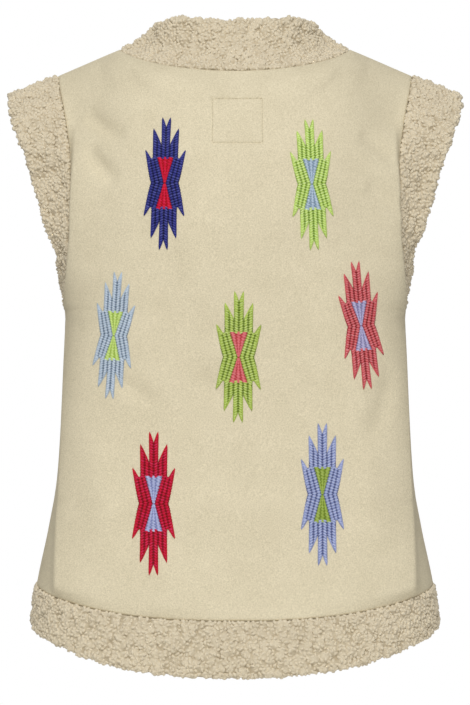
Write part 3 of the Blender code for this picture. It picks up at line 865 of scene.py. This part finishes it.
cloth = bmesh.new()
cloth.from_mesh(suede_back.data)
cloth.normal_update()
near = [face for face in cloth.faces if near_outline(face)]
cuts = list({edge for face in near for edge in face.edges})
bmesh.ops.subdivide_edges(cloth, edges=cuts, cuts=GROOVE_CUTS, use_grid_fill=True)
cloth.normal_update()
for vert in cloth.verts:
    away = from_outline(vert.co.x, vert.co.z)
    if vert.normal.y > FACING_BACK and abs(away) < GROOVE_SPAN:
        level = abs(vert.co.z - OUTLINE_Z) > OUTLINE_HALF_HEIGHT - LEVEL_REACH
        depth = GROOVE_DEPTH * (1 if level else SIDE_GROOVE)
        vert.co -= vert.normal * depth * math.exp(-((away / GROOVE_WIDTH) ** 2))
cloth.to_mesh(suede_back.data)
cloth.free()
suede_back.data.shade_smooth()

outline = []
corners = np.array([[1, 1], [1, -1], [-1, -1], [-1, 1], [1, 1]]) * (OUTLINE_HALF_WIDTH, OUTLINE_HALF_HEIGHT)
for start, end in zip(corners, corners[1:]):
    span = np.linalg.norm(end - start)
    begins = np.arange(STITCH_GAP / 2, span - STITCH_LENGTH / 2, STITCH_LENGTH + STITCH_GAP)
    for begin in begins:
        shares = (begin + STITCH_LENGTH * SHARE) / span
        places = start + (end - start) * np.clip(shares, 0, 1)[:, None]
        colour = np.array(linear(*OUTLINE_THREAD)) * rng.uniform(*OUTLINE_TONES)
        colours = np.tile(colour, (len(SHARE), 1))
        edges = [[first, first + 1] for first in range(len(SHARE) - 1)]
        outline.append(Threads(places, STITCH_LIFT * (LIFT - STITCH_SINK), GIRTH, colours, edges, []))
sewn("stitched_rectangle", outline, off_outline, STITCH_RADIUS)

# The two fronts
# Left and right fronts of the same cloth, sewn to the back at the shoulder and side seams. They meet edge to
# edge down the middle, with no fastening, and their free edges are turned in.
FRONT_NECK = Neck(-0.096, 0.112, 1.9)
FRONT_OPENING = 0.006
OPENING_FADE = 4  # how soon the fronts are back on their form, away from the opening
FRONT_MIDDLE = (
    MidLevel(-0.628, -0.140, 2.8, 0.40),
    MidLevel(-0.573, -0.137, 2.8, 0.40),
    MidLevel(-0.514, -0.133, 2.8, 0.40),
    MidLevel(-0.453, -0.129, 2.7, 0.40),
    MidLevel(-0.384, -0.127, 2.6, 0.40),
    MidLevel(-0.318, -0.130, 2.6, 0.42),
    MidLevel(-0.281, -0.132, 2.6, 0.44),
)
FRONT_ARMHOLE = (
    Row(-0.2762, 0.1776, 0.000, -0.013, -0.279, -0.1321, 2.6, 0.44, 0.000),
    Row(-0.266, 0.1779, 0.000, -0.033, -0.269, -0.1323, 2.6, 0.44, 0.000),
    Row(-0.240, 0.1783, 0.000, -0.053, -0.246, -0.1312, 2.6, 0.44, 0.002),
    Row(-0.188, 0.1640, -0.064, -0.064, -0.207, -0.125, 2.8, 0.98, 0.012),
    Row(-0.125, 0.1650, -0.060, -0.060, -0.173, -0.117, 2.5, 1.10, 0.036),
    Row(-0.074, 0.1740, -0.042, -0.042, -0.146, -0.108, 2.2, 1.40, 0.060),
)
FRONT_FALL = (
    Fall(0.0, 0.0000, 0.005, 0.014),
    Fall(NECK_SHARE, 0.0060, 0.026, 0.011),
    Fall(1.0, -0.0040, 0.019, 0.013),
)
FRONT = Form(FRONT_MIDDLE, FRONT_ARMHOLE, FRONT_FALL, FRONT_NECK)
# On the left front, across runs from the front edge. The right front has its own, a little different.
LEFT_CREASES = (
    Crease(0.205, -0.420, 0.216, -0.750, 0.002, 0.0100, 0.0042),
    Crease(0.232, -0.440, 0.246, -0.750, 0.000, 0.0140, -0.0050),
    Crease(0.100, -0.130, 0.150, -0.250, 0.006, 0.0150, -0.0020),
    Crease(0.150, -0.330, 0.080, -0.430, 0.008, 0.0240, -0.0016),
    Crease(0.055, -0.480, 0.066, -0.660, 0.004, 0.0300, 0.0014),
)
RIGHT_CREASES = (
    Crease(0.208, -0.435, 0.220, -0.750, -0.002, 0.0095, 0.0046),
    Crease(0.233, -0.450, 0.248, -0.750, 0.000, 0.0130, -0.0054),
    Crease(0.108, -0.140, 0.148, -0.235, 0.004, 0.0140, -0.0018),
    Crease(0.140, -0.315, 0.095, -0.445, -0.008, 0.0220, -0.0014),
    Crease(0.090, -0.500, 0.080, -0.660, 0.004, 0.0280, 0.0012),
)
SIDES = (("left", 1, LEFT_CREASES), ("right", -1, RIGHT_CREASES))


def part_fronts(points, shares):
    """Moves the points near the middle of a front aside, so that the front stands open."""
    points[..., 0] += (1 - shares) ** OPENING_FADE * FRONT_OPENING / 2
    return points


def one_front(levels, shares, side):
    """One front at some levels. Side is 1 for the wearer's left and -1 for the right."""
    halves = part_fronts(FRONT.points(shares, levels), shares), FRONT.outward(shares, levels)
    return [half if side > 0 else mirrored(half[:, ::-1]) for half in halves]


for name, side, creases in SIDES:
    surface = one_front(fine_levels(FRONT), fine_shares(free_middle=True), side)
    across = ways(surface[0])[0]
    across = across if side > 0 else across[:, -1:] - across
    mesh = panel_mesh(f"suede_front_{name}", surface, across, creases, -1, SUEDE_FINISHES)
    suede_front = in_scene(mesh.name, mesh)
    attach(suede_front, "root")
    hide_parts(f"front_{name}")

# The pile bands
# Strips of curled pile on a knitted ground, 7 mm through: three lengths round the hem, a ring round each
# armhole and a standing collar. Each strip's seam edge runs on under the suede, and its free edge is rounded.
PILE_THICK = 0.007
PILE_PROUD = 0.0008  # how far the ground of the pile stands out past the suede beside it
PILE_STEP = 0.0019
SEAM_PUFF = 0.0045  # how far from its seam a strip reaches its full height
SEAM_START = -0.0006  # the pile's height right at the seam
SEAM_COVER = 0.3  # the share of its knots' height that a strip has at its seam
SEAM_ROWS = np.array([0.0, 0.0006, 0.0016])  # the rows nearest to the seam
INNER_ROWS = (0.0032, 0.0050)  # the even rows start this far from the seam and stop this far from the edge
FREE_ROWS = np.array([0.0032, 0.0020, 0.0010, 0.0003, 0.0])  # the rows nearest to the free edge
END_COLUMNS = np.array([0.0003, 0.0010])  # extra columns by an open strip's two ends
WRAP_COLUMNS = 3  # how far a ring is read on past its start
SIDE_SEAM_REACH = 0.002  # an end of a strip as near as this to a side seam is sewn to the next strip
TONGUE_REACH = 0.005
TONGUE_TOP = -0.0036  # under the suede
BAND_GAP = 0.0010
NECK_COLUMNS = 9
SHOULDER_COLUMNS = 4
ARMHOLE_STEP = 0.014
HEM_STEP = 0.018
BAND_STEPS = 4
ArmStation = namedtuple("ArmStation", "height_share width out inward up")
ARM_STATIONS = (
    ArmStation(0.00, 0.0360, 0.16, 0.00, 0.98),
    ArmStation(0.12, 0.0370, 0.36, 0.25, 0.80),
    ArmStation(0.30, 0.0385, 0.68, 0.36, 0.48),
    ArmStation(0.55, 0.0445, 0.90, 0.28, 0.15),
    ArmStation(0.75, 0.0525, 0.95, 0.15, -0.08),
    ArmStation(0.90, 0.0555, 0.95, 0.06, -0.25),
    ArmStation(1.00, 0.0545, 0.93, 0.00, -0.37),
)
CollarStation = namedtuple("CollarStation", "way_round width inward up")
COLLAR_STATIONS = (
    CollarStation(0.00, 0.061, 0.42, 0.91),
    CollarStation(0.22, 0.058, 0.50, 0.86),
    CollarStation(0.45, 0.047, 0.80, 0.60),
    CollarStation(0.70, 0.054, 0.55, 0.83),
    CollarStation(1.00, 0.056, 0.28, 0.96),
)
NECK_SHARES = np.linspace(0, NECK_SHARE, NECK_COLUMNS + 1)
SHARES = np.concatenate([NECK_SHARES, np.linspace(NECK_SHARE, 1, SHOULDER_COLUMNS + 1)[1:]])

KNOT_SIZE = 0.0078  # from one knot of the pile to the next
KNOT_HEIGHT = 0.0028
KNOT_SCATTER = 0.9  # how unevenly the knots stand, from 0 to 1
KNOT_FALL = 1.5  # how steeply a knot falls to its foot
KNOT_LEVEL = 0.6  # the share of a knot's height that lies level with the ground
KNOT_LIGHT = 0.88  # how light a knot's top is; lower on the knot the ground is painted darker, as painted shade
SWELL_SIZE = 0.030
SWELL_HEIGHT = 0.0016
CURL_SPACING = 0.0035
CURL_DENSITY = 400000.0  # a square metre, before curls that stand too close are left out
HIDDEN_SHARE = 0.26  # how many of the curls stand on the side that faces the wearer
CURL_LENGTH = 0.0030
CURL_POINTS = 4
CURL_RISE = 0.0017
CURL_BEND = 0.0016  # to one side
CURL_SINK = 0.0012  # how deep its two ends sit in the ground
CURL_TILT = 0.18
CURL_SCALES = (0.80, 1.20)
CURL_LIGHTS = (0.88, 1.0)
YARN_RADIUS = 0.00160
# The darker yarn colour is painted shade down between the knots, and also the dark end of the curls' random
# tones
YARN_DARK_AND_SHADED = linear(174, 160, 134)
YARN_PALE = linear(217, 205, 180)
YARN_SHEEN = linear(236, 226, 206)


def levels_between(form, low, high, step):
    """Levels about a step apart, with one on each of the form's own rows."""
    knots = [low, *[level for level in form.levels if low < level < high], high]
    pieces = [np.linspace(a, b, max(1, round((b - a) / step)) + 1)[:-1] for a, b in zip(knots, knots[1:])]
    return np.concatenate([*pieces, [high]])


def hem_levels(form):
    """Levels from the hem seam down to the hem edge."""
    return levels_between(form, form.levels[0], form.levels[HEM_SEAM_ROW] - SEAM_GAP / 2, HEM_STEP)[::-1]


def band(seam, outward, free_edge, closed):
    """A band that leaves its seam in line with the cloth and bends to its free edge, given from the seam."""

    def ahead(line):
        return np.roll(line, -1, axis=0) - np.roll(line, 1, axis=0) if closed else np.gradient(line, axis=0)

    leave = unit(np.cross(outward, ahead(seam)))
    width = np.linalg.norm(free_edge, axis=1, keepdims=True)
    points, square = [], []
    for share in np.linspace(0, 1, BAND_STEPS):
        line = seam + BAND_GAP * leave + width * leave * share * (1 - share) + free_edge * share**2
        across = width * leave * (1 - 2 * share) + 2 * share * free_edge
        points.append(line)
        square.append(unit(np.cross(ahead(line), across)))
    return np.array(points), np.array(square)


def joined(one, other):
    """A line that runs up one and on down the other, which meet at a seam."""
    return np.concatenate([one[:-1], [(one[-1] + other[-1]) / 2], other[-2::-1]])


def armhole_line(form):
    """The armhole edge of a form from underarm to shoulder tip, and the directions square to the cloth."""
    levels = levels_between(form, form.levels[UNDERARM_ROW], form.levels[-1], ARMHOLE_STEP)
    return form.points([1.0], levels)[:, 0], form.outward([1.0], levels)[:, 0]


def armhole_band():
    """The left armhole band: up the back of the armhole, over the shoulder and down the front."""
    seam, outward = (joined(back, front) for back, front in zip(armhole_line(BACK), armhole_line(FRONT)))
    seam[0], outward[0] = (seam[0] + seam[-1]) / 2, (outward[0] + outward[-1]) / 2
    seam, outward = seam[:-1], unit(outward[:-1])
    low, high = seam[:, 2].min(), seam[:, 2].max()
    table = np.array(ARM_STATIONS)
    width, out, inward, up = smooth_through(table[:, 0], table[:, 1:], (seam[:, 2] - low) / (high - low)).T
    towards_middle = -seam[:, 1] / np.abs(seam[:, 1]).max()
    lean = unit(np.stack([out, inward * towards_middle, up], axis=1))
    return band(seam, outward, lean * width[:, None], closed=True)


def neck_line(form):
    """The neckline of a form from the middle to the shoulder seam, and the directions square to the cloth."""
    line = form.points(NECK_SHARES, form.levels[-1:])[0]
    if form is FRONT:
        line = part_fronts(line, NECK_SHARES)
    return line, form.outward(NECK_SHARES, form.levels[-1:])[0]


def collar_band():
    """The collar: from the wearer's left front edge round the back of the neck to the right front edge."""
    seam, outward = (joined(back, front) for back, front in zip(neck_line(BACK), neck_line(FRONT)))
    way_round = along(seam)
    table = np.array(COLLAR_STATIONS)
    width, inward, up = smooth_through(table[:, 0], table[:, 1:], way_round / way_round[-1]).T
    to_axis = unit(seam * np.array([-1.0, -1.0, 0.0]))
    to_axis[-1, 0] = 0.0
    lean = to_axis * inward[:, None] + np.array([0.0, 0.0, 1.0]) * up[:, None]
    free_edge = unit(lean) * width[:, None]
    halves = [(half[::-1], mirrored(half[1:])) for half in (seam, unit(outward), free_edge)]
    return band(*[np.concatenate(pair) for pair in halves], closed=False)


def refined(surface, closed):
    """A strip's points and directions on a fine grid from seam to free edge, with closer rows at both."""
    wrap = WRAP_COLUMNS if closed else 0
    if closed:
        surface = [np.concatenate([grid[:, -wrap:], grid, grid[:, : wrap + 1]], axis=1) for grid in surface]
    across, up = (way.mean(axis) for way, axis in zip(ways(surface[0]), (0, 1)))
    start, stop = INNER_ROWS
    inner_rows = np.linspace(start, up[-1] - stop, round(up[-1] / PILE_STEP))
    rows = np.concatenate([SEAM_ROWS, inner_rows, up[-1] - FREE_ROWS])
    first, last = across[wrap], across[-1 - wrap]
    columns = np.linspace(first, last, round((last - first) / PILE_STEP) + 1)
    if closed:
        columns = columns[:-1]
    else:
        near_first, near_last = first + END_COLUMNS, last - END_COLUMNS[::-1]
        columns = np.concatenate([columns[:1], near_first, columns[1:-1], near_last, columns[-1:]])
    fine = []
    for grid in surface:
        taller = smooth_through(up, grid, rows)
        fine.append(np.swapaxes(smooth_through(across, np.swapaxes(taller, 0, 1), columns), 0, 1))
    return fine[0], unit(fine[1])


def strip_mesh(name, points, outward, closed, finish):
    """The ground of a pile strip: puffed up from its seam, rounded at its free edges, with a tongue below.

    It is noted where knots rise and how thickly curls stand: thinner towards the wearer, none on the tongue.
    """
    across, up = ways(points)
    half = PILE_THICK / 2
    free = up[-1:] - up
    from_ends = np.full(up.shape, np.inf)
    if not closed:
        from_ends = np.minimum(across, across[:, -1:] - across)
        free = np.minimum(free, from_ends)
    rounding = np.sqrt(1 - (1 - np.clip(free / half, 0, 1)) ** 2)
    puff = np.sqrt(1 - (1 - np.clip(up / SEAM_PUFF, 0, 1)) ** 2)
    middle = PILE_PROUD - half
    low = middle - half * rounding
    top = np.minimum(middle + half * rounding, SEAM_START + (PILE_PROUD - SEAM_START) * puff)
    outer = points + np.maximum(top, low)[..., None] * outward
    inner = points + low[..., None] * outward
    under = TONGUE_REACH * unit(points[0] - points[1])
    tongue = points[0] + TONGUE_TOP * outward[0]
    tongue_low = points[0] + (PILE_PROUD - PILE_THICK) * outward[0]
    outer = np.concatenate([[tongue + under, tongue], outer])
    inner = np.concatenate([[tongue_low + under, tongue_low + under / 2], inner])
    if not closed:
        seam_side = np.sign(points[0, points.shape[1] // 2, 1])
        for layer in (outer, inner):
            for end in (0, -1):
                at_seam = np.abs(layer[:, end, 1]) < SIDE_SEAM_REACH
                layer[at_seam, end, 1] = seam_side * SEAM_SLIT / 2
    bare = np.zeros((2, points.shape[1]))
    cover = np.clip(SEAM_COVER + up / SEAM_PUFF, 0, 1) * np.clip(from_ends / SEAM_PUFF, 0, 1)
    cover = np.concatenate([bare, cover])
    curls = np.concatenate([bare, np.ones(up.shape)])
    notes = {"cover": (cover, cover), "curls": (curls, curls * HIDDEN_SHARE)}
    return walled(name, outer, inner, (finish,), closed, notes)


def noted_shade_and_tone(tree, geometry, lightness, domain):
    """Notes how light each point of the ground is, painted darker as shade down between its knots, or each
    curl, at random.
    """
    noted = {"Geometry": geometry, "Name": "lightness", "Value": lightness}
    return wired(tree, "GeometryNodeStoreNamedAttribute", noted, data_type="FLOAT", domain=domain)


def knot_tree():
    """Swells the ground of a strip into small knots, and notes painted shade: each place darker the lower it
    lies on its knot.
    """
    sizes = ("Knot Size", "Knot Height", "Swell Size", "Swell Height")
    tree, given = geometry_tree("pile_knots", {**{size: "Float" for size in sizes}, "Material": "Material"})
    place = wired(tree, "GeometryNodeInputPosition")
    knot_scale = math_of(tree, "DIVIDE", 1.0, given["Knot Size"])
    knots = {"Vector": place, "Scale": knot_scale, "Randomness": KNOT_SCATTER}
    distance = wired(tree, "ShaderNodeTexVoronoi", knots, feature="F1")
    hollow = math_of(tree, "MULTIPLY", math_of(tree, "POWER", distance, 2.0), KNOT_FALL)
    knot = math_of(tree, "MAXIMUM", math_of(tree, "SUBTRACT", 1.0, hollow), 0.0)
    knot_rise = math_of(tree, "MULTIPLY", math_of(tree, "SUBTRACT", knot, KNOT_LEVEL), given["Knot Height"])
    swell_scale = math_of(tree, "DIVIDE", 1.0, given["Swell Size"])
    swells = wired(tree, "ShaderNodeTexNoise", {"Vector": place, "Scale": swell_scale, "Detail": 2.0})
    swell = math_of(tree, "SUBTRACT", swells, 0.5)
    swell_rise = math_of(tree, "MULTIPLY", swell, given["Swell Height"])
    rise = math_of(tree, "MULTIPLY", math_of(tree, "ADD", knot_rise, swell_rise), note_of(tree, "cover"))
    lift = {0: wired(tree, "GeometryNodeInputNormal"), "Scale": rise}
    offset = wired(tree, "ShaderNodeVectorMath", lift, operation="SCALE")
    moved = wired(tree, "GeometryNodeSetPosition", {"Geometry": given["Geometry"], "Offset": offset})
    # Painted shade: the ground is noted darker the lower a place lies on its knot, down in the hollows
    kept = noted_shade_and_tone(tree, moved, math_of(tree, "MULTIPLY", knot, KNOT_LIGHT), "POINT")
    ended(tree, kept, given["Material"])
    return tree


def curl_tree():
    """Sets curls of yarn all over a strip, turned and tilted at random."""
    sizes = ("Spacing", "Length", "Rise", "Bend", "Sink", "Yarn Radius")
    sockets = {**{size: "Float" for size in sizes}, "Seed": "Int", "Material": "Material"}
    tree, given = geometry_tree("pile_curls", sockets)

    def chance(kind, low, high, offset):
        """A random value for each curl."""
        seed = math_of(tree, "ADD", given["Seed"], float(offset))
        return wired(tree, "FunctionNodeRandomValue", {"Min": low, "Max": high, "Seed": seed}, data_type=kind)

    scatter = {
        "Mesh": given["Geometry"], "Distance Min": given["Spacing"], "Density Max": CURL_DENSITY,
        "Density Factor": note_of(tree, "curls"), "Seed": given["Seed"],
    }
    points = wired(tree, "GeometryNodeDistributePointsOnFaces", scatter, distribute_method="POISSON")
    half = math_of(tree, "MULTIPLY", given["Length"], 0.5)
    other = math_of(tree, "MULTIPLY", given["Length"], -0.5)
    low = math_of(tree, "MULTIPLY", given["Sink"], -1.0)
    arch = {
        "Resolution": CURL_POINTS,
        "Start": wired(tree, "ShaderNodeCombineXYZ", {"X": other, "Z": low}),
        "Middle": wired(tree, "ShaderNodeCombineXYZ", {"Y": given["Bend"], "Z": given["Rise"]}),
        "End": wired(tree, "ShaderNodeCombineXYZ", {"X": half, "Z": low}),
    }
    curl = tube(tree, wired(tree, "GeometryNodeCurveQuadraticBezier", arch), given["Yarn Radius"])
    most = np.array([CURL_TILT, CURL_TILT, math.pi])
    tilt = chance("FLOAT_VECTOR", tuple(-most), tuple(most), 1)
    turn = wired(tree, "FunctionNodeEulerToRotation", {"Euler": tilt})
    upright = {"Rotation": points.node.outputs["Rotation"], "Rotate By": turn}
    turned = wired(tree, "FunctionNodeRotateRotation", upright, rotation_space="LOCAL")
    size = chance("FLOAT", *CURL_SCALES, 2)
    place = {"Points": points, "Instance": curl, "Rotation": turned, "Scale": size}
    curls = wired(tree, "GeometryNodeInstanceOnPoints", place)
    kept = noted_shade_and_tone(tree, curls, chance("FLOAT", *CURL_LIGHTS, 3), "INSTANCE")
    ended(tree, kept, given["Material"])
    return tree


def pile_finish():
    """Undyed matted yarn: painted darker down between the knots as shade, pale and soft on the curls."""
    made, tree, shader = new_finish("pile_yarn")
    fibre, cloud = napped(tree, fibre_size=0.0008, cloud_size=0.020)
    # The ground's painted shade between knots, or a curl's random tone, picks between the two yarn colours
    lightness = wired(tree, "ShaderNodeAttribute", None, attribute_name="lightness").node.outputs["Fac"]
    mottle = wired(tree, "ShaderNodeMapRange", {"Value": cloud, "To Min": -0.25, "To Max": 0.25})
    tone = wired(tree, "ShaderNodeMath", {0: lightness, 1: mottle}, operation="ADD", use_clamp=True)
    colours = {"Factor": tone, "A": YARN_DARK_AND_SHADED, "B": YARN_PALE}
    looks = {
        "Base Color": wired(tree, "ShaderNodeMix", colours, data_type="RGBA"),
        "Normal": wired(tree, "ShaderNodeBump", {"Height": fibre, "Strength": 0.6, "Distance": 0.0005}),
        "Roughness": 1.0,
        "Specular IOR Level": 0.1,
        "Sheen Weight": 0.35,
        "Sheen Roughness": 0.6,
        "Sheen Tint": YARN_SHEEN,
    }
    fill_in(tree, shader, looks)
    return made


KNOTS = knot_tree()
CURLS = curl_tree()
PILE = pile_finish()


def pile_strip(name, node, surface, closed, seed):
    """A strip of curled pile that stands for a CAD node: its knotted ground, and the curls on that."""
    points, outward = refined(surface, closed)
    base = in_scene(f"{name}_flat", strip_mesh(f"{name}_flat", points, outward, closed, PILE))
    knots = {
        "Knot Size": KNOT_SIZE, "Knot Height": KNOT_HEIGHT,
        "Swell Size": SWELL_SIZE, "Swell Height": SWELL_HEIGHT, "Material": PILE,
    }
    ground = in_scene(name, grown(KNOTS, base, name, knots))
    bpy.data.objects.remove(base)
    growth = {
        "Spacing": CURL_SPACING, "Length": CURL_LENGTH, "Rise": CURL_RISE, "Bend": CURL_BEND,
        "Sink": CURL_SINK, "Yarn Radius": YARN_RADIUS, "Seed": seed, "Material": PILE,
    }
    curled = in_scene(f"{name}_curls", grown(CURLS, ground, f"{name}_curls", growth))
    for piece in (ground, curled):
        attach(piece, "root")
    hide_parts(node)


hem_back = whole_back(hem_levels(BACK), SHARES)
hem_left, hem_right = (one_front(hem_levels(FRONT), SHARES, side) for side in (1, -1))
left_armhole = armhole_band()
right_armhole = [mirrored(grid[:, ::-1]) for grid in left_armhole]
pile_strip("pile_hem_back", "hem_band_back", hem_back, closed=False, seed=11)
pile_strip("pile_hem_left", "hem_band_front_left", hem_left, closed=False, seed=13)
pile_strip("pile_hem_right", "hem_band_front_right", hem_right, closed=False, seed=11)
pile_strip("pile_armhole_left", "armhole_band_left", left_armhole, closed=True, seed=21)
pile_strip("pile_armhole_right", "armhole_band_right", right_armhole, closed=True, seed=22)
pile_strip("pile_collar", "collar", collar_band(), closed=False, seed=31)

# The stage
# A plain pale floor well below the hem, soft light from the back's side, and the photograph's camera, level
# with the middle of the back.
FLOOR_DROP = 0.30
FLOOR_RADIUS = 1.4
FLOOR_SIDES = 96
FLOOR_COLOUR = linear(244, 243, 240)
WHITE = (1.0, 1.0, 1.0, 1.0)
AMBIENT = 0.28  # what the light all round adds, while the backdrop itself is white
Lamp = namedtuple("Lamp", "name place size power")
LAMPS = (
    Lamp("key", (0.3, 2.8, 2.4), 1.4, 88),
    Lamp("fill", (-0.3, 3.2, -0.2), 1.4, 26),
    Lamp("front", (0.0, -3.0, 0.9), 2.4, 60),
)
CAMERA_PLACE = (0.0, 2.325, -0.32)
FRAME_DISTANCE = 2.2  # at which the frame is as tall as FRAME_HEIGHT
FRAME_HEIGHT = 0.705
SENSOR = 36.0

middle = (cad_box[0] + cad_box[1]) / 2
for lamp in LAMPS:
    light = bpy.data.lights.new(lamp.name, "AREA")
    light.size = lamp.size
    light.energy = lamp.power
    softbox = in_scene(lamp.name, light)
    softbox.location = lamp.place
    softbox.rotation_mode = "QUATERNION"
    softbox.rotation_quaternion = (middle - softbox.location).to_track_quat("-Z", "Y")
    softbox.visible_camera = False

world = bpy.data.worlds.new("studio")
bpy.context.scene.world = world
world.use_nodes = True
sky = world.node_tree
ambient = sky.nodes["Background"]
fill_in(sky, ambient, {"Color": WHITE, "Strength": AMBIENT})
white = wired(sky, "ShaderNodeBackground", {"Color": WHITE, "Strength": 1.0})
seen = wired(sky, "ShaderNodeLightPath")
both = wired(sky, "ShaderNodeMixShader", {0: seen, 1: ambient.outputs[0], 2: white})
sky.links.new(both, sky.nodes["World Output"].inputs["Surface"])

floor_mesh = bpy.data.meshes.new("floor")
disc = bmesh.new()
bmesh.ops.create_circle(disc, cap_ends=True, segments=FLOOR_SIDES, radius=FLOOR_RADIUS)
bmesh.ops.translate(disc, verts=disc.verts, vec=(0, 0, cad_box[0].z - FLOOR_DROP))
disc.to_mesh(floor_mesh)
disc.free()
floor_finish, floor_tree, floor_shader = new_finish("pale_floor")
fill_in(floor_tree, floor_shader, {"Base Color": FLOOR_COLOUR, "Roughness": 0.9})
floor_mesh.materials.append(floor_finish)
in_scene("floor", floor_mesh)

camera = in_scene("camera", bpy.data.cameras.new("camera"))
camera.location = CAMERA_PLACE
camera.rotation_euler = (math.pi / 2, 0, math.pi)
camera.data.sensor_width = SENSOR
camera.data.lens = SENSOR * FRAME_DISTANCE / FRAME_HEIGHT
bpy.context.scene.camera = camera
bpy.context.scene.view_settings.view_transform = "Standard"
